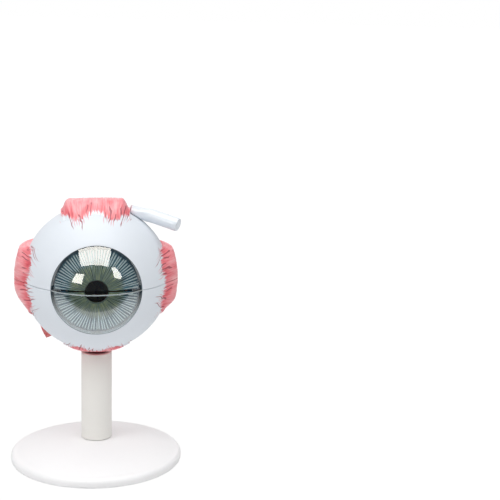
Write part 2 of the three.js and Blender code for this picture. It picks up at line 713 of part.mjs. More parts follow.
function eye() {
  const group = new THREE.Group();
  group.position.z = EYE_HEIGHT;
  const clear = { roughness: 0.05, metalness: 0, transparent: true, opacity: 0.35 };
  const pair = (name, { upper, lower }, colour, finish) =>
    group.add(
      piece(name + "_upper", upper, colour, finish),
      piece(name + "_lower", lower, colour, finish),
    );

  pair("sclera", scleraHalves(), "sclera");
  pair("cornea", corneaHalves(), "clear", clear);
  pair("choroid", choroidHalves(), "choroid");
  pair("retina", retinaHalves(), "retina");
  pair("ciliary_body", ciliaryHalves(), "ciliary");
  pair("iris", irisHalves(), "iris");
  pair("optic_nerve", nerveHalves(), "nerve");
  pair("lateral_rectus", halves(rectus([-1, 0, 0], RECTUS_THICKNESS, 0.1)), "muscle");
  pair("medial_rectus", halves(rectus([1, 0, 0], RECTUS_THICKNESS, 0.1)), "muscle");

  const underside = rectus([0, 0, -1], INFERIOR_RECTUS_THICKNESS, 0).subtract(socketHole());
  group.add(
    piece("superior_rectus", superiorRectus(), "muscle"),
    piece("inferior_rectus", underside, "muscle"),
    piece("inferior_oblique", inferiorOblique(), "muscle"),
    piece("superior_oblique_tendon", superiorObliqueTendon(), "tendon"),
    piece("stand_socket", standSocket(), "socket"),
    piece("vitreous_body", vitreousBody(), "clear", clear),
    piece("lens", lens(), "clear", clear),
    ...rimPlaces().map((place, i) => piece("locating_pin_" + (i + 1), locatingPin(place), "stand")),
  );
  return group;
}

const model = new THREE.Group();
model.add(stand(), eye());

export default model;
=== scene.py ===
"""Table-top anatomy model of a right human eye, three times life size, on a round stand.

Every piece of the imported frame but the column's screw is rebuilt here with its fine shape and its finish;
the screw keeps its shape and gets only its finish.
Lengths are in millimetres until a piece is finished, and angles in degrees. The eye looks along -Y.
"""

from __future__ import annotations

import logging
import math
from dataclasses import dataclass
from enum import Enum
from functools import partial
from typing import Any, Callable, Iterable, Mapping, Sequence

import bmesh
import bpy
from mathutils import Matrix, Vector, noise


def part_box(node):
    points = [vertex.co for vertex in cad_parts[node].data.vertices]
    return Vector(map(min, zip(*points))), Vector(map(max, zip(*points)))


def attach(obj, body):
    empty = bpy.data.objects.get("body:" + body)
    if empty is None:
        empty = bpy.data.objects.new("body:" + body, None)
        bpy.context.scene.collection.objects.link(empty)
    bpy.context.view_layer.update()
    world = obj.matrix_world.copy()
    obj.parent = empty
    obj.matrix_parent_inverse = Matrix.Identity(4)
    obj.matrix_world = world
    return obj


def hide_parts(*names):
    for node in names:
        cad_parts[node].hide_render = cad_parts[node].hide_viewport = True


LOG = logging.getLogger("eye_model")

MM = 0.001
# The gap between two pieces that touch or are glued.
GAP = 0.3
# The angle above which an edge between two faces is drawn sharp.
SHARP = 35.0
SIGHT = Vector((0, -1, 0))
SIDE = Vector((1, 0, 0))
UP = Vector((0, 0, 1))

Point = tuple[float, float]
Place = tuple[float, float, float]
Mesh = bmesh.types.BMesh
Material = bpy.types.Material
Node = bpy.types.Node
NodeMaker = Callable[..., Node]
Sockets = Sequence[bpy.types.NodeSocket]

# Settings of the node that mixes colours, and of the one that steps smoothly from 0 to 1.
COLOURS = {"data_type": "RGBA"}
SMOOTH = {"interpolation_type": "SMOOTHSTEP"}


class Half(Enum):
    """The half of the globe above or below the seam."""

    UPPER = 1
    LOWER = -1

    @property
    def word(self) -> str:
        """The half's ending in the names of its pieces."""
        return self.name.lower()


class Towards(Enum):
    """The side of the globe that a straight muscle lies on."""

    TOP = (0, 0, 1)
    BOTTOM = (0, 0, -1)
    NOSE = (1, 0, 0)
    TEMPLE = (-1, 0, 0)

    @property
    def shoulders(self) -> Point:
        """Where the muscle's thickness starts to fall off: at its lower or left end, and at the other."""
        if self is Towards.NOSE:
            return (0.5, 0.8)
        return (0.2, 0.85) if self is Towards.TEMPLE else (0.68, 0.68)


# Numbers and shapes


def leg(hypotenuse: float, other: float) -> float:
    """Returns the other leg of a right triangle."""
    return math.sqrt(max(0.0, hypotenuse * hypotenuse - other * other))


def smooth(low: float, high: float, value: float) -> float:
    """Returns 0 up to low, 1 from high on, and a smooth rise between them."""
    share = min(1.0, max(0.0, (value - low) / (high - low)))
    return share * share * (3 - 2 * share)


def spaced(start: float, end: float, steps: int) -> list[float]:
    """Returns evenly spaced numbers from start to end."""
    return [start + (end - start) * i / steps for i in range(steps + 1)]


def quarter(steps: int) -> list[float]:
    """Returns the angles of a quarter turn, in radians."""
    return spaced(0.0, math.pi / 2, steps)


def angle_at(radius: float, reach: float) -> float:
    """Returns the angle from a ball's axis to its points that are this far from the axis."""
    return math.degrees(math.asin(reach / radius))


def angle_to(radius: float, depth: float) -> float:
    """Returns the angle from a ball's axis to its points that are this far along the axis."""
    return math.degrees(math.acos(depth / radius))


def arc(radius: float, start: float, end: float, steps: int, centre: float = 0.0) -> list[Point]:
    """Points on a circle round (0, centre), as (distance from the axis, place along the axis).

    Args:
        radius: The circle's radius.
        start: Angle from the axis of the first point.
        end: Angle from the axis of the last point.
        steps: Number of stretches between the points.
        centre: Where on the axis the circle's middle lies.

    Returns:
        The points.
    """
    turns = [math.radians(angle) for angle in spaced(start, end, steps)]
    return [(radius * math.sin(turn), centre + radius * math.cos(turn)) for turn in turns]


@dataclass
class Axis:
    """A line that profiles are turned about."""

    centre: Vector
    along: Vector
    across: Vector

    def place(self, reach: float, depth: float) -> Vector:
        """Returns the point at this distance from the line and place along it."""
        return self.centre + self.along * depth + self.across * reach


def turned(profile: Sequence[Point], axis: Axis, steps: int) -> Mesh:
    """Turns a closed profile into a solid of revolution.

    Args:
        profile: Points as (distance from the axis, place along it). It closes on itself or on the axis.
        axis: The line that it turns about.
        steps: Number of facets round the axis.

    Returns:
        A closed mesh in millimetres.
    """
    bm = bmesh.new()
    verts = [bm.verts.new(axis.place(reach, depth)) for reach, depth in profile]
    edges = [bm.edges.new(pair) for pair in zip(verts, verts[1:])]
    if profile[0][0] > 0 or profile[-1][0] > 0:
        edges.append(bm.edges.new((verts[-1], verts[0])))
    circle = {"cent": axis.centre, "axis": axis.along, "angle": math.tau, "steps": steps}
    bmesh.ops.spin(bm, geom=verts + edges, use_merge=True, **circle)
    bmesh.ops.remove_doubles(bm, verts=bm.verts, dist=1e-4)
    bmesh.ops.recalc_face_normals(bm, faces=bm.faces)
    return bm


def soften(bm: Mesh, width: float, least: float = 40.0, segments: int = 2) -> None:
    """Rounds every edge at which two faces meet at more than the least angle.

    Args:
        bm: The mesh.
        width: How far from the edge the rounding starts.
        least: The least angle, in degrees.
        segments: Number of strips in the rounding.
    """
    sharp = [e for e in bm.edges if e.is_manifold and e.calc_face_angle(0.0) > math.radians(least)]
    shape = {"offset_type": "OFFSET", "segments": segments, "profile": 0.5, "clamp_overlap": True}
    bmesh.ops.bevel(bm, geom=sharp, offset=width, affect="EDGES", material=-1, **shape)


def new_object(name: str, bm: Mesh, materials: Iterable[Material] = ()) -> bpy.types.Object:
    """Makes a mesh into an object of the scene, and frees it.

    Args:
        name: The object's name.
        bm: Its mesh.
        materials: Its materials.

    Returns:
        The object.
    """
    mesh = bpy.data.meshes.new(name)
    bm.to_mesh(mesh)
    bm.free()
    for material in materials:
        mesh.materials.append(material)
    obj = bpy.data.objects.new(name, mesh)
    bpy.context.scene.collection.objects.link(obj)
    return obj


def finish_piece(
    name: str, bm: Mesh, materials: Sequence[Material], body: str, sharp: float = SHARP
) -> bpy.types.Object:
    """Makes a mesh in millimetres into a named piece, which takes the place of its node.

    Args:
        name: The piece's name, which is its node's too.
        bm: Its mesh, which is freed.
        materials: Its materials, in the order of the faces' material indices.
        body: The body that it rides on.
        sharp: Angle above which an edge is drawn sharp.

    Returns:
        The piece.
    """
    bmesh.ops.scale(bm, vec=(MM, MM, MM), verts=bm.verts)
    obj = new_object(name, bm, materials)
    for polygon in obj.data.polygons:
        polygon.use_smooth = True
    obj.data.set_sharp_from_angle(angle=math.radians(sharp))
    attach(obj, body)
    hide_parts(name)
    LOG.info("%s: %d faces, on %s", name, len(obj.data.polygons), body)
    return obj


@dataclass(frozen=True)
class Seam:
    """How a part is cut in two at the seam: the seam's height, its gap, and the halves' rounded edge."""

    height: float
    gap: float = GAP
    edge: float = 0.0
    sharp: float = SHARP

    def half_of(self, whole: Mesh, half: Half, cut_material: int) -> Mesh:
        """Returns a copy of one half of a solid, closed with a flat face at the seam.

        Args:
            whole: The solid, which stays as it is.
            half: The half to keep.
            cut_material: The material index of the flat face.

        Returns:
            The half's mesh.
        """
        bm = whole.copy()
        plane = {"plane_co": UP * (self.height + half.value * self.gap / 2), "plane_no": UP * half.value}
        geom = bm.verts[:] + bm.edges[:] + bm.faces[:]
        cut = bmesh.ops.bisect_plane(bm, geom=geom, dist=1e-5, clear_inner=True, **plane)
        rim = [e for e in cut["geom_cut"] if isinstance(e, bmesh.types.BMEdge)]
        for face in bmesh.ops.holes_fill(bm, edges=rim, sides=0)["faces"]:
            face.material_index = cut_material
        bmesh.ops.recalc_face_normals(bm, faces=bm.faces)
        if self.edge > 0:
            soften(bm, self.edge)
        return bm

    def finish_halves(
        self, part: str, whole: Mesh, materials: Sequence[Material], shell: str
    ) -> list[bpy.types.Object]:
        """Cuts a part in two and finishes both halves.

        Args:
            part: The start of the pieces' names.
            whole: The part's whole solid, which is freed.
            materials: Its materials. The last one is the flat faces' too.
            shell: The shell that the halves belong to, which is the ending of their bodies' names.

        Returns:
            The upper and the lower piece.
        """
        pieces = []
        for half in Half:
            bm = self.half_of(whole, half, len(materials) - 1)
            name, body = f"{part}_{half.word}", f"{half.word}_{shell}"
            pieces.append(finish_piece(name, bm, materials, body, self.sharp))
        whole.free()
        return pieces


def cut_away(obj: bpy.types.Object, cutters: Iterable[Mesh]) -> None:
    """Cuts solids given in millimetres out of a finished piece.

    Args:
        obj: The piece.
        cutters: The solids, which are freed.
    """
    joined = bmesh.new()
    for cutter in cutters:
        spare = bpy.data.meshes.new("cutter")
        cutter.to_mesh(spare)
        cutter.free()
        joined.from_mesh(spare)
        bpy.data.meshes.remove(spare)
    bmesh.ops.scale(joined, vec=(MM, MM, MM), verts=joined.verts)
    tool = new_object("cutter", joined)
    cut = obj.modifiers.new("cut", "BOOLEAN")
    cut.operation = "DIFFERENCE"
    cut.solver = "EXACT"
    cut.object = tool
    graph = bpy.context.evaluated_depsgraph_get()
    result = bpy.data.meshes.new_from_object(obj.evaluated_get(graph))
    obj.modifiers.clear()
    old, obj.data = obj.data, result
    spent = (old, tool.data)
    bpy.data.objects.remove(tool)
    for mesh in spent:
        bpy.data.meshes.remove(mesh)
    result.name = obj.name
    result.set_sharp_from_angle(angle=math.radians(SHARP))


# Colours and nodes


def colour(text: str) -> tuple[float, float, float, float]:
    """Returns an sRGB hex colour as the linear colour that nodes take.

    Args:
        text: The colour, such as #ffffff.

    Returns:
        Its red, green, blue and alpha.
    """
    parts = (int(text[i : i + 2], 16) / 255 for i in (1, 3, 5))
    linear = [p / 12.92 if p <= 0.04045 else ((p + 0.055) / 1.055) ** 2.4 for p in parts]
    return (*linear, 1.0)


def add_node(
    tree: bpy.types.NodeTree,
    kind: str,
    *values: Any,
    inputs: Mapping[str, Any] | None = None,
    **settings: Any,
) -> Node:
    """Adds a shader node with its settings and links.

    Args:
        tree: The node tree that it joins.
        kind: The node's type, without its ShaderNode prefix. Its operation may follow after a colon.
        values: Values of the inputs that its settings leave in use, in their order. None leaves one
            as it is, a node stands for its first output in use, and a text is a hex colour.
        inputs: Values of further inputs, by name.
        settings: The node's attributes. A ramp's stops are [(place, hex colour), ...].

    Returns:
        The new node.
    """
    kind, _, operation = kind.partition(":")
    made = tree.nodes.new("ShaderNode" + kind)
    if operation:
        made.operation = operation
    stops = settings.pop("stops", [])
    if stops:
        elements = made.color_ramp.elements
        while len(elements) < len(stops):
            elements.new(1.0)
        for element, (place, text) in zip(elements, stops):
            element.position = place
            element.color = colour(text)
    for key, value in settings.items():
        setattr(made, key, value)
    usable = [socket for socket in made.inputs if socket.enabled]
    named = ((made.inputs[key], value) for key, value in (inputs or {}).items())
    for socket, value in [*zip(usable, values), *named]:
        source = value
        if isinstance(value, Node):
            source = next(output for output in value.outputs if output.enabled)
        if isinstance(source, bpy.types.NodeSocket):
            tree.links.new(source, socket)
        elif source is not None:
            socket.default_value = colour(source) if isinstance(source, str) else source
    return made


def new_group(
    name: str,
    inputs: Sequence[str],
    outputs: Sequence[str],
    fill: Callable[[NodeMaker, Sockets], Sequence[Node]],
) -> bpy.types.NodeTree:
    """Makes a node group.

    Args:
        name: The group's name.
        inputs: Names of its inputs, which are numbers.
        outputs: Names of its outputs. The one called Colour is a colour, and the others are numbers.
        fill: Adds the nodes. It is given the function that adds one and the inputs' sockets, and
            returns one node for each output.

    Returns:
        The group.
    """
    group = bpy.data.node_groups.new(name, "ShaderNodeTree")
    for label in inputs:
        group.interface.new_socket(name=label, in_out="INPUT", socket_type="NodeSocketFloat")
    for label in outputs:
        kind = "NodeSocketColor" if label == "Colour" else "NodeSocketFloat"
        group.interface.new_socket(name=label, in_out="OUTPUT", socket_type=kind)
    given, result = group.nodes.new("NodeGroupInput"), group.nodes.new("NodeGroupOutput")
    made = fill(partial(add_node, group), given.outputs[: len(inputs)])
    for source, socket in zip(made, result.inputs):
        group.links.new(source.outputs[0], socket)
    return group


# The globe's sizes, which every sub-assembly shares


@dataclass
class EyeSizes:
    """Sizes of the eye in millimetres, and angles in degrees from the line of sight."""

    height: float
    globe: float = 37.5
    sclera_wall: float = 3.0
    choroid_wall: float = 1.8
    retina_wall: float = 1.0
    shell_gap: float = 0.4
    limbus: float = 22.0
    cornea_curve: float = 27.0
    cornea_wall: float = 1.6
    cornea_edge: float = 1.1
    cornea_ledge: float = 1.2
    choroid_setback: float = 1.1
    retina_edge: float = 67.0
    iris_thickness: float = 1.2
    iris_rise: float = 4.7
    iris_edge: float = 1.5
    iris_foot: float = 1.6
    iris_convexity: float = 1.6
    pupil: float = 5.5
    lens: float = 14.0
    lens_front_curve: float = 30.0
    lens_rear_curve: float = 18.0
    lens_edge: float = 1.5
    lens_setback: float = 2.0
    lens_clearance: float = 0.9
    ciliary_depth: float = 3.8
    dish_depth: float = 1.1
    socket: float = 6.0
    socket_end: float = 20.0
    muscle_front: float = 67.0
    muscle_notch: float = 4.0
    muscle_rear: float = 128.0
    muscle_half_width: float = 16.6
    top_lean: float = -1.0
    nerve_angle: float = 16.0

    def __post_init__(self) -> None:
        """Works out what follows from the sizes. Depths are measured forwards from the middle."""
        self.middle = UP * self.height
        self.sight = Axis(self.middle, SIGHT, SIDE)
        # The upright line through the globe's middle, with heights from the middle.
        self.upright = Axis(self.middle, UP, SIDE)
        # The ball that everything on the outside of the globe lies on.
        self.seat = self.globe + GAP
        # The depth at which the cornea meets the white of the eye.
        self.limbus_depth = leg(self.globe, self.limbus)
        self.sclera_inner = self.globe - self.sclera_wall
        self.choroid_outer = self.sclera_inner - self.shell_gap
        self.choroid_inner = self.choroid_outer - self.choroid_wall
        self.retina_outer = self.choroid_inner - GAP
        self.retina_inner = self.retina_outer - self.retina_wall
        # The radii of the white shell's opening and of the iris.
        self.opening = self.limbus - self.cornea_ledge
        self.iris = self.opening - self.shell_gap
        # The depths of the inner shell's rim, of the iris's edge, and of the lens's front and back.
        self.choroid_rim = leg(self.sclera_inner, self.opening) - self.choroid_setback
        self.iris_root = self.choroid_rim + GAP + self.iris_edge
        self.lens_front = self.iris_root + self.iris_rise - self.iris_thickness - self.lens_setback
        edge = self.lens_front - self.lens_front_curve + leg(self.lens_front_curve, self.lens)
        edge -= self.lens_edge
        self.lens_rear = edge - self.lens_rear_curve + leg(self.lens_rear_curve, self.lens)

    def socket_hole(self) -> Mesh:
        """Returns the solid that cuts the hole for the bush."""
        reach, low, high = self.socket + GAP, -2 * self.globe, -self.socket_end
        return turned([(0.0, low), (reach, low), (reach, high), (0.0, high)], self.upright, 96)


# Finishes


@dataclass(frozen=True)
class Finish:
    """A finish. Each kind says what the inputs of its shader are."""

    name: str

    def skin(self, node: NodeMaker) -> dict[str, Any]:
        """Returns the shader's inputs."""
        raise NotImplementedError

    def surface(self, node: NodeMaker) -> Node:
        """Returns the surface's shader."""
        return node("BsdfPrincipled", inputs=self.skin(node))

    def material(self) -> Material:
        """Returns the finish as a material."""
        material = bpy.data.materials.new(self.name)
        material.use_nodes = True
        material.node_tree.nodes.clear()
        node = partial(add_node, material.node_tree)
        node("OutputMaterial", self.surface(node))
        return material


@dataclass(frozen=True)
class MouldedPlastic(Finish):
    """Injection-moulded plastic. A faint orange peel keeps its highlights from being perfectly even."""

    tint: str
    roughness: float
    peel_mm: float = 1.4
    peel_depth_mm: float = 0.004
    flow_mm: float = 17.0
    mottle: float = 0.02

    def skin(self, node: NodeMaker) -> dict[str, Any]:
        """Adds the nodes that the shader's inputs need.

        Args:
            node: Adds a node to the material.

        Returns:
            The inputs' values, by name.
        """
        place = node("TexCoord").outputs["Object"]
        peel = node("TexNoise", place, 1 / (self.peel_mm * MM), 2.0)
        flow = node("TexNoise", place, 1 / (self.flow_mm * MM), 3.0)
        bump = node("Bump", 0.35, self.peel_depth_mm * MM, inputs={"Height": peel})
        value = node("MapRange", flow, 0.0, 1.0, 1 - self.mottle, 1 + self.mottle)
        tint = node("HueSaturation", inputs={"Color": self.tint, "Value": value})
        shine = node("MapRange", flow, 0.0, 1.0, self.roughness - 0.04, self.roughness + 0.06)
        return {"Base Color": tint, "Roughness": shine, "IOR": 1.5, "Normal": bump}


@dataclass(frozen=True)
class PlatedSteel(Finish):
    """Zinc-plated steel of a machine screw: bright, and a little streaky where the bath ran off."""

    tint: str = "#c3c6ca"
    grain_mm: float = 0.4

    def skin(self, node: NodeMaker) -> dict[str, Any]:
        """Adds the nodes that the shader's inputs need.

        Args:
            node: Adds a node to the material.

        Returns:
            The inputs' values, by name.
        """
        grain = node("TexNoise", node("TexCoord").outputs["Object"], 1 / (self.grain_mm * MM), 3.0)
        shine = node("MapRange", grain, 0.0, 1.0, 0.22, 0.42)
        return {"Base Color": self.tint, "Metallic": 1.0, "Roughness": shine}


@dataclass(frozen=True)
class ClearPlastic(Finish):
    """Polished clear plastic. A faint waviness bends what is seen through it and mirrored in it."""

    tint: str = "#f7fbfc"
    roughness: float = 0.015
    coat_ior: float = 1.0
    wave_mm: float = 9.0
    lets_lamplight: bool = True

    def skin(self, node: NodeMaker) -> dict[str, Any]:
        """Adds the nodes that the shader's inputs need.

        Args:
            node: Adds a node to the material.

        Returns:
            The inputs' values, by name.
        """
        wave = node("TexNoise", node("TexCoord").outputs["Object"], 1 / (self.wave_mm * MM), 1.0)
        bump = node("Bump", 0.08, 0.02 * MM, inputs={"Height": wave})
        skin = {"Base Color": self.tint, "Roughness": self.roughness, "IOR": 1.49, "Normal": bump}
        skin["Transmission Weight"] = 1.0
        if self.coat_ior > 1:
            skin |= {"Coat Weight": 1.0, "Coat IOR": self.coat_ior, "Coat Roughness": self.roughness}
        return skin

    def surface(self, node: NodeMaker) -> Node:
        """Adds the surface's nodes. Lamplight can go straight through it.

        Args:
            node: Adds a node to the material.

        Returns:
            The surface's shader.
        """
        surface = super().surface(node)
        if not self.lets_lamplight:
            return surface
        straight = node("BsdfTransparent", "#f2f6f7")
        return node("MixShader", node("LightPath").outputs["Is Shadow Ray"], surface, straight)


@dataclass(frozen=True)
class GroundPlastic(Finish):
    """The cut edge of clear plastic: finely ground, so it catches the light and looks white."""

    tint: str = "#d3dbdf"
    grit_mm: float = 0.3

    def skin(self, node: NodeMaker) -> dict[str, Any]:
        """Adds the nodes that the shader's inputs need.

        Args:
            node: Adds a node to the material.

        Returns:
            The inputs' values, by name.
        """
        grit = node("TexNoise", node("TexCoord").outputs["Object"], 1 / (self.grit_mm * MM), 2.0)
        shine = node("MapRange", grit, 0.0, 1.0, 0.35, 0.6)
        return {"Base Color": self.tint, "Roughness": shine, "Transmission Weight": 0.25}


@dataclass(frozen=True)
class Paint(Finish):
    """Acrylic paint on moulded plastic: satin, so it has soft highlights and full colours."""

    sizes: EyeSizes

    def place(self, node: NodeMaker) -> Node:
        """Adds nodes that give the place in millimetres from the globe's middle."""
        place = node("TexCoord").outputs["Object"]
        return node("Mapping", place, (0, 0, -self.sizes.height), None, (1 / MM, 1 / MM, 1 / MM))

    def colour(self, node: NodeMaker, place: Node) -> Any:
        """Returns what gives the paint's colour at a place."""
        raise NotImplementedError

    def skin(self, node: NodeMaker) -> dict[str, Any]:
        """Returns the shader's inputs."""
        return {"Base Color": self.colour(node, self.place(node)), "Roughness": 0.5, "IOR": 1.48}


@dataclass(frozen=True)
class Strokes:
    """Sizes of a layer of brush strokes. A stroke that would end before its start isn't there."""

    spacing_mm: float
    half_width_mm: float
    sway_mm: float
    start_mm: Point
    end_mm: Point
    shift: float


PALE_STROKES = Strokes(1.2, 0.36, 0.4, start_mm=(-9.0, 3.0), end_mm=(0.5, 4.0), shift=11.0)
DARK_STROKES = Strokes(2.4, 0.42, 0.9, start_mm=(-11.5, 7.0), end_mm=(1.5, 10.0), shift=29.0)


@dataclass(frozen=True)
class FibrePaint:
    """Hand-painted muscle fibres: pink, coral at the front, with dark strokes out over the white.

    The pattern lies on the globe in millimetres: across the muscle, and along it from its front
    edge, with the muscle on the positive side.
    """

    sizes: EyeSizes
    feather_mm: float = 2.2
    corner_mm: float = 2.2
    seed_step: float = 37.3

    @property
    def half_width(self) -> float:
        """Half the muscle's width, measured along the globe."""
        return math.asin(self.sizes.muscle_half_width / self.sizes.globe) * self.sizes.globe

    def coordinates(self) -> bpy.types.NodeTree:
        """Returns a group that turns a place into millimetres across and along a muscle.

        Its inputs are the place's parts towards the muscle, across it and along the line of sight,
        and how far the front edge draws back between its two lobes.
        """
        names = ("Towards", "Across", "Ahead", "Notch")
        return new_group("muscle_coordinates", names, ("Across", "Along", "Seed"), self.measured)

    def measured(self, node: NodeMaker, given: Sockets) -> tuple[Node, ...]:
        """Adds the nodes of the group of coordinates.

        Args:
            node: Adds a node to the group.
            given: The sockets of the group's inputs.

        Returns:
            The nodes of the millimetres across and along, and of the seed.
        """
        towards, sideways, ahead, notch = given
        globe, half_width = self.sizes.globe, self.half_width
        length = node("VectorMath:LENGTH", node("CombineXYZ", towards, sideways, ahead))
        side = node("Math:ARCSINE", node("Math:DIVIDE", sideways, length))
        across = node("Math:MULTIPLY", side, globe)
        angle = node("Math:ARCTAN2", node("Math:ABSOLUTE", towards), ahead)
        travelled = node("Math:MULTIPLY", angle, globe)
        wave = node("Math:SINE", node("Math:MULTIPLY", across, math.pi / half_width))
        drawn = node("Math:SUBTRACT", 1.0, node("Math:MULTIPLY", wave, wave))
        front = math.radians(self.sizes.muscle_front - self.sizes.muscle_notch) * globe
        edge = node("Math:MULTIPLY_ADD", drawn, notch, front)
        out = node("Math:ABSOLUTE", across)
        corner = node("MapRange", out, 0.62 * half_width, half_width, **SMOOTH)
        edge = node("Math:MULTIPLY_ADD", corner, self.corner_mm, edge)
        along = node("Math:SUBTRACT", travelled, edge)
        seed = node("Math:MULTIPLY", node("Math:SIGN", towards), self.seed_step)
        return across, along, seed

    def paint(self) -> bpy.types.NodeTree:
        """Returns a group that paints fibres from the millimetres across and along a muscle.

        Its fan is how fast the strokes close in on each other towards the front. Its outputs are
        the coat's cover and colour, and the cover of the pale and of the dark strokes.
        """
        names = ("Across", "Along", "Seed", "Fan")
        return new_group("muscle_paint", names, ("Cover", "Colour", "Pale", "Dark"), self.painted)

    def painted(self, node: NodeMaker, given: Sockets) -> tuple[Node, ...]:
        """Adds the nodes of the group of paint.

        Args:
            node: Adds a node to the group.
            given: The sockets of the group's inputs.

        Returns:
            The nodes of the coat's cover and colour, and of the pale and the dark strokes' cover.
        """
        across, along = given[:2]
        fibres = node("TexNoise", self.stretched(node, given, 0.6, 8.0, 1.0), 1.0, 3.0, 0.6)
        patches = node("TexNoise", self.stretched(node, given, 4.0, 9.0, 5.0), 1.0, 2.0)
        teeth = node("TexNoise", self.stretched(node, given, 0.9, 8.0, 9.0), 1.0, 3.0, 0.65)
        # The coat starts where its distance from the front edge beats the teeth.
        bite = node("MapRange", teeth, 0.3, 0.7, -self.feather_mm, self.feather_mm)
        cover = node("MapRange", node("Math:SUBTRACT", along, bite), -0.8, 1.6, **SMOOTH)
        out = node("Math:ABSOLUTE", across)
        within = node("MapRange", out, self.half_width + 0.4, self.half_width - 0.6, **SMOOTH)
        coat = node("Math:MULTIPLY", cover, within)
        tone = node("Math:MULTIPLY_ADD", fibres, 0.4, 0.1)
        tone = node("Math:MULTIPLY_ADD", patches, 0.36, tone)
        rise = node("MapRange", along, 1.0, 10.0, **SMOOTH)
        tone = node("Math:MULTIPLY_ADD", rise, 0.13, tone)
        tints = ("#d9505c", "#ec727b", "#f5939a", "#fbacb1", "#ffc6c9")
        pinks = node("ValToRGB", tone, stops=list(zip((0.40, 0.49, 0.58, 0.66, 0.76), tints)))
        near = node("MapRange", out, self.half_width + 1.8, self.half_width + 0.6, **SMOOTH)
        layers = [self.strokes(node, given, brush) for brush in (PALE_STROKES, DARK_STROKES)]
        return coat, pinks, *(node("Math:MULTIPLY", layer, near) for layer in layers)

    @staticmethod
    def stretched(node: NodeMaker, given: Sockets, width: float, length: float, shift: float) -> Node:
        """Adds a place on the muscle, counted in fibre widths and lengths.

        Args:
            node: Adds a node to the group.
            given: The sockets of the group's inputs.
            width: A fibre's width.
            length: A fibre's length.
            shift: Tells one pattern's place from another's.

        Returns:
            The node that gives the place.
        """
        across, along, seed = given[:3]
        across, along = node("Math:DIVIDE", across, width), node("Math:DIVIDE", along, length)
        return node("CombineXYZ", across, along, node("Math:ADD", seed, shift))

    def strokes(self, node: NodeMaker, given: Sockets, brush: Strokes) -> Node:
        """Adds one layer of brush strokes, at most one to each strip of the muscle.

        Args:
            node: Adds a node to the paint's group.
            given: Sockets of the millimetres across and along, of the seed and of the fan.
            brush: The layer's sizes.

        Returns:
            The node that gives the strokes' cover.
        """
        across, along, seed, fan = given
        drift = self.stretched(node, given, 4.0, 8.0, brush.shift)
        wander = node("Math:SUBTRACT", node("TexNoise", drift, 1.0, 1.0), 0.5)
        ahead = node("Math:MINIMUM", along, 0.0)
        spread = node("Math:SUBTRACT", 1.0, node("Math:MULTIPLY", ahead, fan))
        fanned = node("Math:MULTIPLY", across, spread)
        swayed = node("Math:MULTIPLY_ADD", wander, 4 * brush.sway_mm, fanned)
        # The strips are counted from far outside the muscle, with others for each layer and seed.
        shift = node("Math:ADD", seed, brush.shift + 400.0)
        strip = node("Math:MULTIPLY_ADD", swayed, 1 / brush.spacing_mm, shift)
        cell = node("TexVoronoi", strip, 1.0, inputs={"Randomness": 0.9}, voronoi_dimensions="1D")
        chance = node("SeparateColor", cell.outputs["Color"])
        start = node("MapRange", chance.outputs[0], 0.0, 1.0, *brush.start_mm)
        end = node("MapRange", chance.outputs[1], 0.0, 1.0, *brush.end_mm)
        swell = node("MapRange", node("Math:SUBTRACT", along, start), 0.0, 4.5, **SMOOTH)
        fade = node("MapRange", node("Math:SUBTRACT", end, along), 0.0, 1.8, **SMOOTH)
        body = node("Math:MULTIPLY", swell, fade)
        reach = node("Math:MULTIPLY_ADD", body, brush.half_width_mm / brush.spacing_mm, 0.001)
        core = node("Math:MULTIPLY", reach, 0.35)
        line = node("MapRange", cell.outputs["Distance"], reach, core, **SMOOTH)
        return node("Math:MULTIPLY", line, body)


@dataclass(frozen=True)
class MuscleCoats:
    """The two node groups that lay fibre paint on a surface, and the colours they lay."""

    sizes: EyeSizes
    coordinates: bpy.types.NodeTree
    paint: bpy.types.NodeTree
    pale: str = "#e0909a"
    dark: str = "#9c3f4d"
    upright_fan: float = 0.018
    level_fan: float = 0.06
    upright_notch: float = 5.4
    level_notch: float = 2.6

    def laid(self, node: NodeMaker, place: Node, upright: bool) -> tuple[Node, Any]:
        """Adds the paint of the upright or of the level muscles.

        Args:
            node: Adds a node to the material.
            place: The place in millimetres from the globe's middle.
            upright: Whether the muscles lie on top and underneath, and not at the sides.

        Returns:
            The coat's node, and the socket of the millimetres along the muscle.
        """
        parts = node("SeparateXYZ", place)
        ahead = node("Math:MULTIPLY", parts.outputs[1], -1.0)
        ways = (parts.outputs[0], parts.outputs[2])
        fan, notch = self.level_fan, self.level_notch
        if upright:
            above = node("Math:MAXIMUM", parts.outputs[2], 0.0)
            slope = -math.tan(math.radians(self.sizes.top_lean))
            ways = (parts.outputs[2], node("Math:MULTIPLY_ADD", above, slope, parts.outputs[0]))
            fan, notch = self.upright_fan, self.upright_notch
        measured = node("Group", *ways, ahead, notch, node_tree=self.coordinates)
        coat = node("Group", *measured.outputs[:3], fan, node_tree=self.paint)
        return coat, measured.outputs[1]

    def over(self, node: NodeMaker, coat: Node, skin: Any, cover: Any) -> Node:
        """Adds the coat and its strokes over a skin.

        Args:
            node: Adds a node to the material.
            coat: The coat's node.
            skin: The skin's colour.
            cover: How much of the skin the coat covers.

        Returns:
            The node that gives the colour.
        """
        skin = node("Mix", cover, skin, coat.outputs[1], **COLOURS)
        for number, share, tint in ((2, 0.6, self.pale), (3, 0.85, self.dark)):
            strokes = node("Math:MULTIPLY", coat.outputs[number], share)
            skin = node("Mix", strokes, skin, tint, **COLOURS)
        return skin


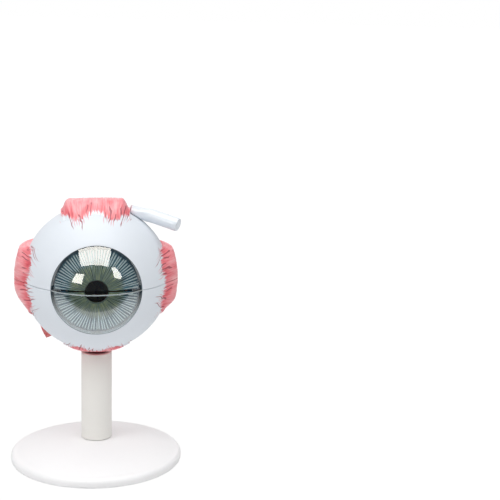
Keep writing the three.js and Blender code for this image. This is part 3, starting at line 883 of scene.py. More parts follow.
@dataclass(frozen=True)
class PaintedSclera(Paint):
    """White moulded plastic, smooth and a little glossy, with the muscles' fibres painted out over it."""

    coats: MuscleCoats
    white: str = "#e6ecf3"
    # The colour of the painted shade under the cornea's foot.
    slate: str = "#526471"
    # The paint starts this far inside the globe's radius, and is full this far inside it.
    skin_depth: Point = (0.9, 0.5)
    ledge_depth: float = 2.2
    # The painted rim starts and is full this far inside the limbus.
    rim_widths: Point = (0.7, 0.4)
    rim_cover: float = 0.75
    # Painted shade on the ledge: up to the first height it stays pale, and from the second on it is slate.
    ledge_shade_heights: Point = (-14.0, -5.0)

    def skin(self, node: NodeMaker) -> dict[str, Any]:
        """Adds the nodes that the shader's inputs need.

        Args:
            node: Adds a node to the material.

        Returns:
            The inputs' values, by name.
        """
        place = self.place(node)
        flow = node("TexNoise", place, 0.06, 2.0)
        value = node("MapRange", flow, 0.0, 1.0, 0.97, 1.02)
        white = node("HueSaturation", inputs={"Color": self.white, "Value": value})
        skin = white
        for upright in (True, False):
            coat, _ = self.coats.laid(node, place, upright)
            skin = self.coats.over(node, coat, skin, coat.outputs[0])
        edges = (self.sizes.globe - depth for depth in self.skin_depth)
        outside = node("MapRange", node("VectorMath:LENGTH", place), *edges)
        skin = node("Mix", outside, white, skin, **COLOURS)
        # Painted shade under the cornea's foot: slate over the ledge on the upper side and the sides, and
        # only a thin slate rim at the bottom.
        skin = node("Mix", self.ledge(node, place), skin, self.slate, **COLOURS)
        bump = node("Bump", 0.3, 0.005 * MM, inputs={"Height": node("TexNoise", place, 0.8, 2.0)})
        shine = node("MapRange", flow, 0.0, 1.0, 0.5, 0.6)
        return {"Base Color": skin, "Roughness": shine, "Specular IOR Level": 0.2, "Normal": bump}

    def ledge(self, node: NodeMaker, place: Node) -> Node:
        """Covers the ledge under the cornea's edge with painted shade. At the bottom only its rim is
        covered.

        Args:
            node: Adds a node to the material.
            place: The place in millimetres from the globe's middle.

        Returns:
            The node that gives the cover.
        """
        parts = node("SeparateXYZ", place)
        reach = node("VectorMath:LENGTH", node("CombineXYZ", parts.outputs[0], parts.outputs[2]))
        inside = node("Math:LESS_THAN", reach, self.sizes.limbus + GAP)
        front = node("Math:LESS_THAN", parts.outputs[1], self.ledge_depth - self.sizes.limbus_depth)
        edges = (self.sizes.limbus - width for width in self.rim_widths)
        rim = node("MapRange", reach, *edges, 0.0, self.rim_cover)
        strength = node("MapRange", parts.outputs[2], *self.ledge_shade_heights, **SMOOTH)
        cover = node("Math:MAXIMUM", strength, rim)
        return node("Math:MULTIPLY", node("Math:MULTIPLY", inside, front), cover)


@dataclass(frozen=True)
class PaintedMuscle(Paint):
    """Moulded muscle with hand-painted fibres. Its front edge fades to the white of the eye."""

    coats: MuscleCoats
    upright: bool
    white: str = "#e6ecf3"

    def skin(self, node: NodeMaker) -> dict[str, Any]:
        """Adds the nodes that the shader's inputs need.

        Args:
            node: Adds a node to the material.

        Returns:
            The inputs' values, by name.
        """
        coat, along = self.coats.laid(node, self.place(node), self.upright)
        # The muscle's own sides and rear are pink wherever its front edge isn't near.
        behind = node("MapRange", along, 1.5, 5.0, **SMOOTH)
        cover = node("Math:MAXIMUM", coat.outputs[0], behind)
        skin = self.coats.over(node, coat, self.white, cover)
        shine = node("MapRange", coat.outputs[3], 0.0, 1.0, 0.45, 0.6)
        return {"Base Color": skin, "Roughness": shine, "IOR": 1.48}


@dataclass(frozen=True)
class PaintedStump(Paint):
    """Muscle paint on a stump whose fibres run in a direction of their own."""

    coats: MuscleCoats
    across: Vector
    along: Vector
    seed: float = 91.0

    def colour(self, node: NodeMaker, place: Node) -> Node:
        """Adds the nodes of the paint's colour.

        Args:
            node: Adds a node to the material.
            place: The place in millimetres from the globe's middle.

        Returns:
            The node that gives the colour.
        """
        ways = (tuple(self.across), tuple(self.along))
        across, along = [node("VectorMath:DOT_PRODUCT", place, way) for way in ways]
        along = node("Math:ADD", along, 8.0)
        coat = node("Group", across, along, self.seed, 0.0, node_tree=self.coats.paint)
        return self.coats.over(node, coat, coat.outputs[1], 1.0)


@dataclass(frozen=True)
class MuscleSection(Paint):
    """The cut end of a muscle: raised bundles of fibres, with pale tissue between them."""

    bundle_mm: float = 1.3

    def skin(self, node: NodeMaker) -> dict[str, Any]:
        """Adds the nodes that the shader's inputs need.

        Args:
            node: Adds a node to the material.

        Returns:
            The inputs' values, by name.
        """
        place = self.place(node)
        scale = 1 / self.bundle_mm
        bundles = node("TexVoronoi", place, scale, feature="DISTANCE_TO_EDGE")
        chance = node("SeparateColor", node("TexVoronoi", place, scale).outputs["Color"])
        reds = node("ValToRGB", chance, stops=[(0.0, "#c8474b"), (1.0, "#dd6b68")])
        line = node("MapRange", bundles, 0.0, 0.09, 0.75, 0.0)
        skin = node("Mix", line, reds, "#e9aaa6", **COLOURS)
        bump = node("Bump", 0.6, 0.15 * MM, inputs={"Height": bundles})
        return {"Base Color": skin, "Roughness": 0.55, "IOR": 1.48, "Normal": bump}


@dataclass(frozen=True)
class PaintedIris(Paint):
    """The painted iris: olive round the pupil, teal outside, with straight pale rays on it."""

    rays: int
    olive_edge: float = 13.6
    ray_tint: str = "#d9ebee"
    # Least and greatest: where a ray starts from the olive's edge, its tip's radius, its half width.
    ray_roots: Point = (-3.0, 1.0)
    ray_tips: Point = (19.6, 20.4)
    ray_half_widths: Point = (0.26, 0.34)

    def colour(self, node: NodeMaker, place: Node) -> Node:
        """Adds the nodes of the paint's colour.

        Args:
            node: Adds a node to the material.
            place: The place in millimetres from the globe's middle.

        Returns:
            The node that gives the colour.
        """
        parts = node("SeparateXYZ", place)
        reach = node("VectorMath:LENGTH", node("CombineXYZ", parts.outputs[0], parts.outputs[2]))
        turn = node("Math:ARCTAN2", parts.outputs[2], parts.outputs[0])
        per_turn = self.rays / math.tau

        def polar(across: float, along: float, shift: float) -> Node:
            """Adds a place counted in rays round the pupil and lengths away from it."""
            sideways = node("Math:MULTIPLY", turn, across)
            return node("CombineXYZ", sideways, node("Math:DIVIDE", reach, along), shift)

        sway = node("TexNoise", polar(per_turn / 4, 9.0, 2.0), 1.0, 1.0)
        strip = node("Math:MULTIPLY_ADD", turn, per_turn, 500.0)
        strip = node("Math:MULTIPLY_ADD", sway, 0.2, strip)
        ray = node("TexVoronoi", strip, 1.0, inputs={"Randomness": 0.3}, voronoi_dimensions="1D")
        chance = node("SeparateColor", ray.outputs["Color"])
        roots = (self.olive_edge + shift for shift in self.ray_roots)
        root = node("MapRange", chance.outputs[0], 0.0, 1.0, *roots)
        tip = node("MapRange", chance.outputs[1], 0.0, 1.0, *self.ray_tips)
        rooted = node("MapRange", node("Math:SUBTRACT", reach, root), -1.0, 2.6, **SMOOTH)
        tipped = node("MapRange", node("Math:SUBTRACT", tip, reach), -0.2, 0.7, **SMOOTH)
        width = node("MapRange", chance.outputs[2], 0.0, 1.0, *self.ray_half_widths)
        line = node("MapRange", ray, width, node("Math:MULTIPLY", width, 0.5), **SMOOTH)
        rays = node("Math:MULTIPLY", node("Math:MAXIMUM", rooted, 0.34), tipped)
        rays = node("Math:MULTIPLY", rays, line)

        fibres = node("TexNoise", polar(per_turn * 0.9, 9.0, 7.0), 1.0, 2.0, 0.6)
        patches = node("TexNoise", polar(1.6, 6.0, 11.0), 1.0, 2.0)
        blue = node("ValToRGB", fibres, stops=[(0.3, "#234459"), (0.5, "#3c6378"), (0.72, "#5a889b")])
        tone = node("Math:MULTIPLY_ADD", patches, 0.25, node("Math:MULTIPLY", fibres, 0.75))
        greens = [(0.36, "#2a3c34"), (0.46, "#52644f"), (0.55, "#7f8c5c"), (0.67, "#b4ba7c")]
        olive = node("ValToRGB", tone, stops=greens)
        # The olive ends in a ragged edge.
        border = node("Math:MULTIPLY_ADD", node("Math:SUBTRACT", fibres, 0.5), 6.0, reach)
        outside = node("MapRange", border, self.olive_edge - 2.2, self.olive_edge + 1.4, **SMOOTH)
        skin = node("Mix", outside, olive, blue, **COLOURS)
        skin = node("Mix", rays, skin, self.ray_tint, **COLOURS)
        # Painted rings: a thin pale one round the pupil, and slate at the root.
        pupil = self.sizes.pupil
        for outer, inner, tint in ((pupil + 0.7, pupil + 0.2, "#5d6a60"), (20.0, 20.6, "#41586a")):
            ring = node("MapRange", reach, outer, inner, **SMOOTH)
            skin = node("Mix", ring, skin, tint, **COLOURS)
        return skin


@dataclass(frozen=True)
class Spot:
    """A round painted spot, with the radii where it ends and where it is full."""

    centre: Vector
    outer: float
    inner: float
    tint: str


@dataclass(frozen=True)
class VesselPaint(Paint):
    """A mottled painted coat with a fine and a coarse net of vessels, which makes it look alive."""

    ground: tuple[str, str]
    vessels: tuple[str, str]
    mesh_mm: float
    width: float
    spots: tuple[Spot, ...] = ()
    front_tint: str = ""

    def colour(self, node: NodeMaker, place: Node) -> Node:
        """Adds the nodes of the paint's colour.

        Args:
            node: Adds a node to the material.
            place: The place in millimetres from the globe's middle.

        Returns:
            The node that gives the colour.
        """
        mottle = node("TexNoise", place, 0.35, 5.0, 0.6)
        sway = node("TexNoise", place, 0.22, 2.0).outputs["Color"]
        bent = node("VectorMath:MULTIPLY_ADD", sway, (5.0, 5.0, 5.0), place)
        skin = node("ValToRGB", mottle, stops=list(zip((0.35, 0.65), self.ground)))
        for tint, spacing, share in zip(self.vessels, (self.mesh_mm, self.mesh_mm * 1.7), (1.0, 1.4)):
            net = node("TexVoronoi", bent, 1 / spacing, feature="DISTANCE_TO_EDGE")
            line = node("MapRange", net, self.width * share, 0.3 * self.width * share, **SMOOTH)
            skin = node("Mix", node("Math:MULTIPLY", line, 0.8), skin, tint, **COLOURS)
        for spot in self.spots:
            away = node("VectorMath:DISTANCE", place, tuple(spot.centre))
            dot = node("MapRange", away, spot.outer, spot.inner, **SMOOTH)
            skin = node("Mix", dot, skin, spot.tint, **COLOURS)
        if self.front_tint:
            front = -self.sizes.choroid_rim
            depth = node("SeparateXYZ", place).outputs[1]
            rim = node("MapRange", depth, front + 2.0, front + 0.5, **SMOOTH)
            skin = node("Mix", rim, skin, self.front_tint, **COLOURS)
        return skin


@dataclass(frozen=True)
class RidgedPaint(Paint):
    """A dark painted coat with painted shade in the grooves and painted light on the raised folds, so that
    each fold stands out.
    """

    low: str
    high: str
    folds: int

    def colour(self, node: NodeMaker, place: Node) -> Node:
        """Adds the nodes of the paint's colour.

        Args:
            node: Adds a node to the material.
            place: The place in millimetres from the globe's middle.

        Returns:
            The node that gives the colour.
        """
        parts = node("SeparateXYZ", place)
        turn = node("Math:ARCTAN2", parts.outputs[2], parts.outputs[0])
        # Painted shade and light: the tone falls in the grooves and rises on the folds, in step with the
        # carved folds.
        wave = node("Math:COSINE", node("Math:MULTIPLY", turn, float(self.folds)))
        tone = node("Math:MULTIPLY_ADD", wave, 0.35, node("TexNoise", place, 1.2, 3.0))
        return node("ValToRGB", tone, stops=[(0.3, self.low), (0.85, self.high)])


@dataclass(frozen=True)
class NervePaint(Paint):
    """The nerve's stub: white sheath, yellow bundles, and a red and a blue vessel in the middle."""

    axis: Axis
    core: float
    bundle_mm: float = 0.9

    def colour(self, node: NodeMaker, place: Node) -> Node:
        """Adds the nodes of the paint's colour.

        Args:
            node: Adds a node to the material.
            place: The place in millimetres from the globe's middle.

        Returns:
            The node that gives the colour.
        """
        way = tuple(self.axis.along)
        onto = node("VectorMath:SCALE", way, node("VectorMath:DOT_PRODUCT", place, way))
        off = node("VectorMath:SUBTRACT", place, onto)
        bundles = node("TexVoronoi", off, 1 / self.bundle_mm, feature="DISTANCE_TO_EDGE")
        yellow = node("ValToRGB", bundles, stops=[(0.02, "#b78b45"), (0.14, "#ecd08a")])
        reach = node("VectorMath:LENGTH", off)
        sheath = node("MapRange", reach, self.core + 0.1, self.core + 0.5, **SMOOTH)
        skin = node("Mix", sheath, yellow, "#ecdcb4", **COLOURS)
        for shift, tint in ((0.75, "#b8323a"), (-0.75, "#3d5a9b")):
            away = node("VectorMath:DISTANCE", off, tuple(self.axis.across * shift))
            dot = node("MapRange", away, 0.6, 0.42, **SMOOTH)
            skin = node("Mix", dot, skin, tint, **COLOURS)
        return skin


# Sub-assemblies


@dataclass
class Stand:
    """The round base, the column, the screw that joins them, and the bush on top."""

    sizes: EyeSizes
    base_radius: float = 44.5
    edge_height: float = 5.0
    dome_rise: float = 6.5
    base_wall: float = 2.6
    rim_width: float = 3.4
    edge_round: float = 2.6
    foot_round: float = 1.5
    column_radius: float = 7.9
    column_length: float = 46.4
    column_wall: float = 2.0
    column_top_wall: float = 3.0
    landing: float = 1.0
    chamfer: float = 0.4
    foot_chamfer: float = 0.15
    bush_chamfer: float = 0.25
    peg_length: float = 12.0
    web: float = 3.0
    spigot: float = 4.0
    spigot_length: float = 3.6
    screw: float = 2.0
    screw_head: float = 4.0
    screw_head_height: float = 2.6
    boss_wall: float = 2.4
    boss_clearance: float = 1.2

    @property
    def dome_top(self) -> float:
        """The height of the base's top at the column."""
        return self.edge_height + self.dome_rise

    def dome(self, reach: float) -> float:
        """Works out the height of the base's top.

        Args:
            reach: The distance from the column's axis.

        Returns:
            The height.
        """
        seat = self.column_radius + self.landing
        out = max(0.0, (reach - seat) / (self.base_radius - self.edge_round - seat))
        return self.edge_height + self.dome_rise * (1 - out * out)

    def build(self) -> None:
        """Builds every piece of the stand but the screw, which keeps its shape and gets only its finish."""
        # Moulded ABS with a satin surface, which has broad soft highlights.
        white = MouldedPlastic("moulded_abs_white", "#fafafb", 0.55).material()
        # Extruded ABS, a little warmer and greyer than the base's, so that the column stands out.
        ivory = MouldedPlastic("extruded_abs_ivory", "#f1efea", 0.5).material()
        # Dark red polyamide. Its dark red is painted shade and a painted red reflection of the muscle,
        # which show as the dark crescent under the globe.
        red = MouldedPlastic("moulded_polyamide_painted_shade_red", "#5e1b20", 0.5).material()
        ground = Axis(Vector(), UP, SIDE)
        self.build_base(ground, white)
        self.build_column(ground, ivory)
        self.build_bush(red)
        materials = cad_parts["column_screw"].data.materials
        materials.clear()
        materials.append(PlatedSteel("zinc_plated_steel").material())
        LOG.info("column_screw: kept from the frame, in plated steel")

    def build_base(self, ground: Axis, plastic: Material) -> None:
        """Builds the domed base with its rounded edge, hollow underside and peg.

        Args:
            ground: The column's axis.
            plastic: The piece's material.
        """
        radius, foot, edge = self.base_radius, self.foot_round, self.edge_round
        outer, inner = radius - edge, radius - self.rim_width
        head_hole = self.screw_head + GAP
        boss = head_hole + self.boss_wall
        seat = self.boss_clearance + self.screw_head_height + 2 * GAP
        tip = self.dome_top + self.peg_length
        bore = self.column_radius - self.column_wall - GAP
        rise = self.edge_height - edge
        reaches = spaced(outer, self.column_radius + self.landing, 24)
        profile = [
            (inner, 0.0),
            *((radius - foot * (1 - math.sin(t)), foot * (1 - math.cos(t))) for t in quarter(6)),
            *((outer + edge * math.cos(t), rise + edge * math.sin(t)) for t in quarter(12)[:-1]),
            *((r, self.dome(r)) for r in reaches),
            (bore, self.dome_top),
            (bore, tip),
            (self.screw + GAP, tip),
            (self.screw + GAP, seat),
            (head_hole, seat),
            (head_hole, self.boss_clearance),
            (boss, self.boss_clearance),
            *((r, self.dome(r) - self.base_wall) for r in spaced(boss, inner, 16)),
        ]
        finish_piece("base_disc", turned(profile, ground, 160), [plastic], "stand")

    def build_column(self, ground: Axis, plastic: Material) -> None:
        """Builds the hollow column with its web and spigot.

        Args:
            ground: The column's axis.
            plastic: The piece's material.
        """
        foot = self.dome_top + GAP
        top = foot + self.column_length
        web = foot + self.peg_length
        radius, lip, cut = self.column_radius, self.chamfer, self.foot_chamfer
        bore = radius - self.column_wall
        tip = top + self.spigot_length
        profile = [
            (0.0, top - self.column_top_wall),
            (bore, top - self.column_top_wall),
            (bore, web + self.web),
            (self.screw + GAP, web + self.web),
            (self.screw + GAP, web),
            (bore, web),
            (bore, foot),
            (radius - cut, foot),
            (radius, foot + cut),
            *((radius - lip * (1 - math.cos(t)), top - lip * (1 - math.sin(t))) for t in quarter(4)),
            (self.spigot, top),
            (self.spigot, tip - lip),
            (self.spigot - lip, tip),
            (0.0, tip),
        ]
        finish_piece("column", turned(profile, ground, 128), [plastic], "stand")

    def build_bush(self, plastic: Material) -> None:
        """Builds the bush that the globe turns on.

        Args:
            plastic: The piece's material.
        """
        sizes = self.sizes
        foot = self.dome_top + self.column_length + 2 * GAP - sizes.height
        top = -leg(sizes.sclera_inner, sizes.socket) - GAP
        hole, lip = self.spigot + GAP, self.bush_chamfer
        profile = [
            (hole + lip, foot),
            (sizes.socket - lip, foot),
            (sizes.socket, foot + lip),
            (sizes.socket, top - lip),
            (sizes.socket - lip, top),
            (hole + lip, top),
            (hole, top - lip),
            (hole, foot + lip),
        ]
        bm = turned(profile, sizes.upright, 96)
        finish_piece("stand_socket", bm, [plastic], "swivel_bush")


@dataclass
class OuterShell:
    """The white shell, the cornea, the nerve's stub and the pins, in an upper and a lower half."""

    sizes: EyeSizes
    coats: MuscleCoats
    steps: int = 160
    pin: float = 0.8
    pin_grip: float = 2.6
    pin_behind_limbus: float = 19.0
    pin_rear: float = 125.0
    nerve_core: float = 3.8
    nerve_sheath: float = 6.0
    nerve_sheath_length: float = 6.0
    nerve_stub_length: float = 1.5
    sheath_chamfer: float = 0.5
    core_chamfer: float = 0.4

    def build(self) -> None:
        """Builds every piece of both halves."""
        self.build_sclera()
        self.build_cornea()
        self.build_nerve()
        self.build_pins()

    def pin_places(self) -> list[Vector]:
        """Returns where the locating pins stand on the seam."""
        sizes = self.sizes
        front = angle_at(sizes.globe, sizes.limbus) + self.pin_behind_limbus
        ends = arc(sizes.globe - sizes.sclera_wall / 2, front, self.pin_rear, 1)
        return [sizes.sight.place(side * reach, depth) for reach, depth in ends for side in (1, -1)]

    def pin_holes(self) -> list[Mesh]:
        """Returns the solids that cut the holes for the pins."""
        reach, depth = self.pin + GAP, self.pin_grip + 2 * GAP
        hole = [(0.0, -depth), (reach, -depth), (reach, depth), (0.0, depth)]
        return [turned(hole, Axis(place, UP, SIDE), 24) for place in self.pin_places()]

    def build_sclera(self) -> None:
        """Builds the white shell's halves, with the opening and ledge for the cornea."""
        sizes = self.sizes
        lip = sizes.limbus + GAP
        seat = sizes.limbus_depth - sizes.cornea_edge - GAP
        profile = [
            *arc(sizes.globe, 180, angle_at(sizes.globe, lip), 64),
            (lip, seat),
            (sizes.opening, seat),
            *arc(sizes.sclera_inner, angle_at(sizes.sclera_inner, sizes.opening), 180, 40),
        ]
        whole = turned(profile, sizes.sight, self.steps)
        paint = PaintedSclera("painted_white_plastic", sizes, self.coats).material()
        seam = Seam(sizes.height, edge=0.2)
        upper, lower = seam.finish_halves("sclera", whole, [paint], "sclera")
        cut_away(upper, self.pin_holes())
        cut_away(lower, [*self.pin_holes(), sizes.socket_hole()])

    def build_cornea(self) -> None:
        """Builds the clear dome's halves, with ground faces at the seam."""
        sizes = self.sizes
        centre = sizes.limbus_depth - leg(sizes.cornea_curve, sizes.limbus)
        foot = sizes.limbus_depth - sizes.cornea_edge
        inner = sizes.cornea_curve - sizes.cornea_wall
        profile = [
            *arc(inner, 0, angle_to(inner, foot - centre), 32, centre),
            (sizes.limbus, foot),
            *arc(sizes.cornea_curve, angle_at(sizes.cornea_curve, sizes.limbus), 0, 36, centre),
        ]
        whole = turned(profile, sizes.sight, self.steps)
        # Clear acrylic with a hard coat, which mirrors the lamps as bright as a wet eye does.
        clear = ClearPlastic("hard_coated_acrylic_cornea", coat_ior=1.8).material()
        ground = GroundPlastic("ground_acrylic_edge").material()
        seam = Seam(sizes.height, edge=0.05)
        seam.finish_halves("cornea", whole, [clear, ground], "sclera")

    def build_nerve(self) -> None:
        """Builds the halves of the nerve's stub, which leaves the back of the globe towards the nose."""
        sizes, sheath, core = self.sizes, self.nerve_sheath, self.nerve_core
        cut, lip = self.sheath_chamfer, self.core_chamfer
        turn = math.radians(sizes.nerve_angle)
        along = SIDE * math.sin(turn) - SIGHT * math.cos(turn)
        axis = Axis(sizes.middle, along, SIDE * math.cos(turn) + SIGHT * math.sin(turn))
        sheath_end = sizes.globe + self.nerve_sheath_length
        end = sheath_end + self.nerve_stub_length
        profile = [
            *arc(sizes.seat, 0, angle_at(sizes.seat, sheath), 10),
            (sheath, sheath_end - cut),
            (sheath - cut, sheath_end),
            (core, sheath_end),
            (core, end - lip),
            (core - lip, end),
            (0.0, end),
        ]
        paint = NervePaint("painted_nerve_plastic", sizes, axis, core).material()
        whole = turned(profile, axis, 72)
        Seam(sizes.height).finish_halves("optic_nerve", whole, [paint], "sclera")

    def build_pins(self) -> None:
        """Builds the four round-ended pins that line the halves up."""
        # Natural ABS, smoother than the shells and slightly grey, so that the pins can be made out.
        plastic = MouldedPlastic("moulded_abs_pins", "#e4e6ea", 0.4).material()
        straight = self.pin_grip - self.pin
        profile = [*arc(self.pin, 180, 90, 6, -straight), *arc(self.pin, 90, 0, 6, straight)]
        for number, place in enumerate(self.pin_places(), start=1):
            bm = turned(profile, Axis(place, UP, SIDE), 24)
            finish_piece(f"locating_pin_{number}", bm, [plastic], "lower_sclera")


@dataclass
class InnerEye:
    """The inner shell with retina, ciliary body and iris, and the clear lens and vitreous body."""

    sizes: EyeSizes
    steps: int = 144
    # Where the spot of sharp sight lies: aside from the line of sight, and above it.
    fovea: Point = (-2.5, -0.6)
    ciliary_folds: int = 72
    fold_depth: float = 0.75
    # The folds end and are full this far outside the ring's hole.
    fold_reach: Point = (5.0, 0.5)
    iris_rays: int = 88
    ray_depth: float = 0.1
    iris_gap: float = 0.8

    def build(self) -> None:
        """Builds every inner piece."""
        self.build_choroid()
        self.build_retina()
        self.build_ciliary()
        self.build_iris()
        self.build_lens()
        self.build_vitreous()

    def build_choroid(self) -> None:
        """Builds the inner shell's halves."""
        sizes = self.sizes
        outer, inner, rim = sizes.choroid_outer, sizes.choroid_inner, sizes.choroid_rim
        profile = [
            *arc(outer, 180, angle_to(outer, rim), 50),
            *arc(inner, angle_to(inner, rim), 180, 36),
        ]
        # Acrylic paint on moulded PVC: dark red-brown, and slate round the iris.
        paint = VesselPaint(
            "painted_pvc_choroid",
            sizes,
            ground=("#5b2219", "#84392a"),
            vessels=("#b03a34", "#2f3f6b"),
            mesh_mm=6.0,
            width=0.05,
            front_tint="#3d505b",
        ).material()
        whole = turned(profile, sizes.sight, self.steps)
        seam = Seam(sizes.height, edge=0.2)
        seam.finish_halves("choroid", whole, [paint], "choroid")

    def build_retina(self) -> None:
        """Builds the retina's halves."""
        sizes = self.sizes
        profile = [
            *arc(sizes.retina_outer, 180, sizes.retina_edge, 36),
            *arc(sizes.retina_inner, sizes.retina_edge, 180, 36),
        ]
        turn = math.radians(sizes.nerve_angle)
        head = Vector((math.sin(turn), math.cos(turn), 0)) * sizes.retina_inner
        fovea = Vector((self.fovea[0], head.y, self.fovea[1]))
        # Acrylic paint on moulded PVC: orange, with the pale nerve's head and the dark spot of sharp sight.
        paint = VesselPaint(
            "painted_pvc_retina",
            sizes,
            ground=("#d9793f", "#ee9f63"),
            vessels=("#b5332c", "#8a2a3a"),
            mesh_mm=9.0,
            width=0.03,
            spots=(
                Spot(head, 4.4, 3.4, "#f2dfa4"),
                Spot(head, 1.6, 0.9, "#c9504a"),
                Spot(fovea, 5.0, 2.0, "#c9682f"),
                Spot(fovea, 1.4, 0.6, "#7e2d1d"),
            ),
        ).material()
        whole = turned(profile, sizes.sight, self.steps)
        seam = Seam(sizes.height, edge=0.12)
        seam.finish_halves("retina", whole, [paint], "choroid")

    def build_ciliary(self) -> None:
        """Builds the ciliary body's halves, with their folds round the lens."""
        sizes, folds = self.sizes, self.ciliary_folds
        front = sizes.choroid_rim - GAP
        rear = front - sizes.ciliary_depth
        band = sizes.retina_edge - 1
        reach = sizes.lens + sizes.lens_clearance
        lip = 0.25 * sizes.ciliary_depth
        inner = reach + lip
        outsides = spaced(leg(sizes.retina_outer, front), inner, 12)[1:-1]
        insides = spaced(inner, leg(sizes.retina_inner, rear), 12)[1:-1]
        profile = [
            *arc(sizes.retina_outer, band, angle_to(sizes.retina_outer, front), 16),
            *((r, front) for r in outsides),
            *((inner - lip * math.sin(t), front - lip * (1 - math.cos(t))) for t in quarter(6)),
            *((inner - lip * math.cos(t), rear + lip * (1 - math.sin(t))) for t in quarter(6)),
            *((r, rear) for r in insides),
            *arc(sizes.retina_inner, angle_to(sizes.retina_inner, rear), band, 12),
        ]
        whole = turned(profile, sizes.sight, 4 * folds)
        for vert in whole.verts:
            away = vert.co - sizes.middle
            across = Vector((away.x, 0, away.z))
            groove = 0.5 - 0.5 * math.cos(folds * math.atan2(away.z, away.x))
            near = smooth(*(reach + width for width in self.fold_reach), across.length)
            vert.co += across.normalized() * (self.fold_depth * groove * near)
        # Acrylic paint on moulded PVC, with painted shade that makes it nearly black in the grooves.
        paint = RidgedPaint("painted_pvc_ciliary_body", sizes, "#1d120f", "#5d3a2b", folds).material()
        seam = Seam(sizes.height)
        seam.finish_halves("ciliary_body", whole, [paint], "choroid")

    def build_iris(self) -> None:
        """Builds the iris's halves, a shallow cone with fine rays in relief."""
        sizes, pupil, edge = self.sizes, self.sizes.pupil, self.sizes.iris

        def front(reach: float) -> float:
            """Returns the depth of the iris's front at this distance from the sight line."""
            out = min(1.0, max(0.0, (reach - pupil) / (edge - pupil)))
            return sizes.iris_root + sizes.iris_rise * (1 - out**sizes.iris_convexity)

        foot = sizes.choroid_rim + GAP
        inner = edge - sizes.iris_foot
        profile = [
            (inner, foot),
            (edge, foot),
            *((r, front(r)) for r in spaced(edge, pupil + 0.25, 24)),
            (pupil, front(pupil) - 0.3),
            (pupil, front(pupil) - sizes.iris_thickness + 0.2),
            *((r, front(r) - sizes.iris_thickness) for r in spaced(pupil + 0.15, inner, 12)),
        ]
        whole = turned(profile, sizes.sight, 3 * self.iris_rays)
        for vert in whole.verts:
            away = vert.co - sizes.middle
            reach = math.hypot(away.x, away.z)
            if -away.y > front(reach) - 0.4 * sizes.iris_thickness:
                turn = math.atan2(away.z, away.x) * self.iris_rays / math.tau
                ripple = noise.noise(Vector((turn * 0.7, reach / 6, 7.0)))
                fade = smooth(edge, edge - 1.5, reach) * smooth(pupil, pupil + 1.0, reach)
                vert.co.y += self.ray_depth * fade * (0.5 - 0.5 * ripple)
        paint = PaintedIris("painted_iris_plastic", sizes, self.iris_rays).material()
        seam = Seam(sizes.height, self.iris_gap)
        seam.finish_halves("iris", whole, [paint], "choroid")

    def build_lens(self) -> None:
        """Builds the clear lens, with its band round the edge."""
        sizes = self.sizes
        front, rear = sizes.lens_front_curve, sizes.lens_rear_curve
        profile = [
            *arc(rear, 180, 180 - angle_at(rear, sizes.lens), 32, sizes.lens_rear + rear),
            *arc(front, angle_at(front, sizes.lens), 0, 32, sizes.lens_front - front),
        ]
        bm = turned(profile, sizes.sight, 128)
        soften(bm, 0.3, segments=3)
        # Polished acrylic, which keeps the lamplight out of the globe, so that the pupil looks black.
        clear = ClearPlastic("polished_acrylic_lens", "#f6f8f2", lets_lamplight=False).material()
        finish_piece("lens", bm, [clear], "lens")

    def build_vitreous(self) -> None:
        """Builds the clear ball, with the dish for the back of the lens."""
        sizes = self.sizes
        ball = sizes.retina_inner - sizes.shell_gap
        curve = sizes.lens_rear_curve + sizes.shell_gap
        centre = sizes.lens_rear + sizes.lens_rear_curve
        face = centre - curve + sizes.dish_depth
        dish = leg(curve, curve - sizes.dish_depth)
        profile = [
            *arc(ball, 180, angle_to(ball, face), 56),
            *((r, face) for r in spaced(leg(ball, face), dish, 10)[1:-1]),
            *arc(curve, 180 - angle_at(curve, dish), 180, 12, centre),
        ]
        bm = turned(profile, sizes.sight, 128)
        soften(bm, 0.35, least=30, segments=3)
        # Cast acrylic, not quite as clear as the lens, which gives the ball a slight haze.
        clear = ClearPlastic("cast_acrylic_vitreous", "#f3f8f9", 0.03, lets_lamplight=False).material()
        finish_piece("vitreous_body", bm, [clear], "vitreous")


def furrow(across: float, along: float, seed: float) -> float:
    """Returns how deep the furrow between two bundles of fibres is at this place, from 0 to 1."""
    return 1 - min(1.0, 3.0 * abs(noise.noise(Vector((across, along, seed)))))


def ring_edges(loop: Sequence[bmesh.types.BMVert]) -> list[bmesh.types.BMEdge]:
    """Returns the edges that join the vertices of one ring."""
    members = set(loop)
    return list({e for v in loop for e in v.link_edges if set(e.verts) <= members})


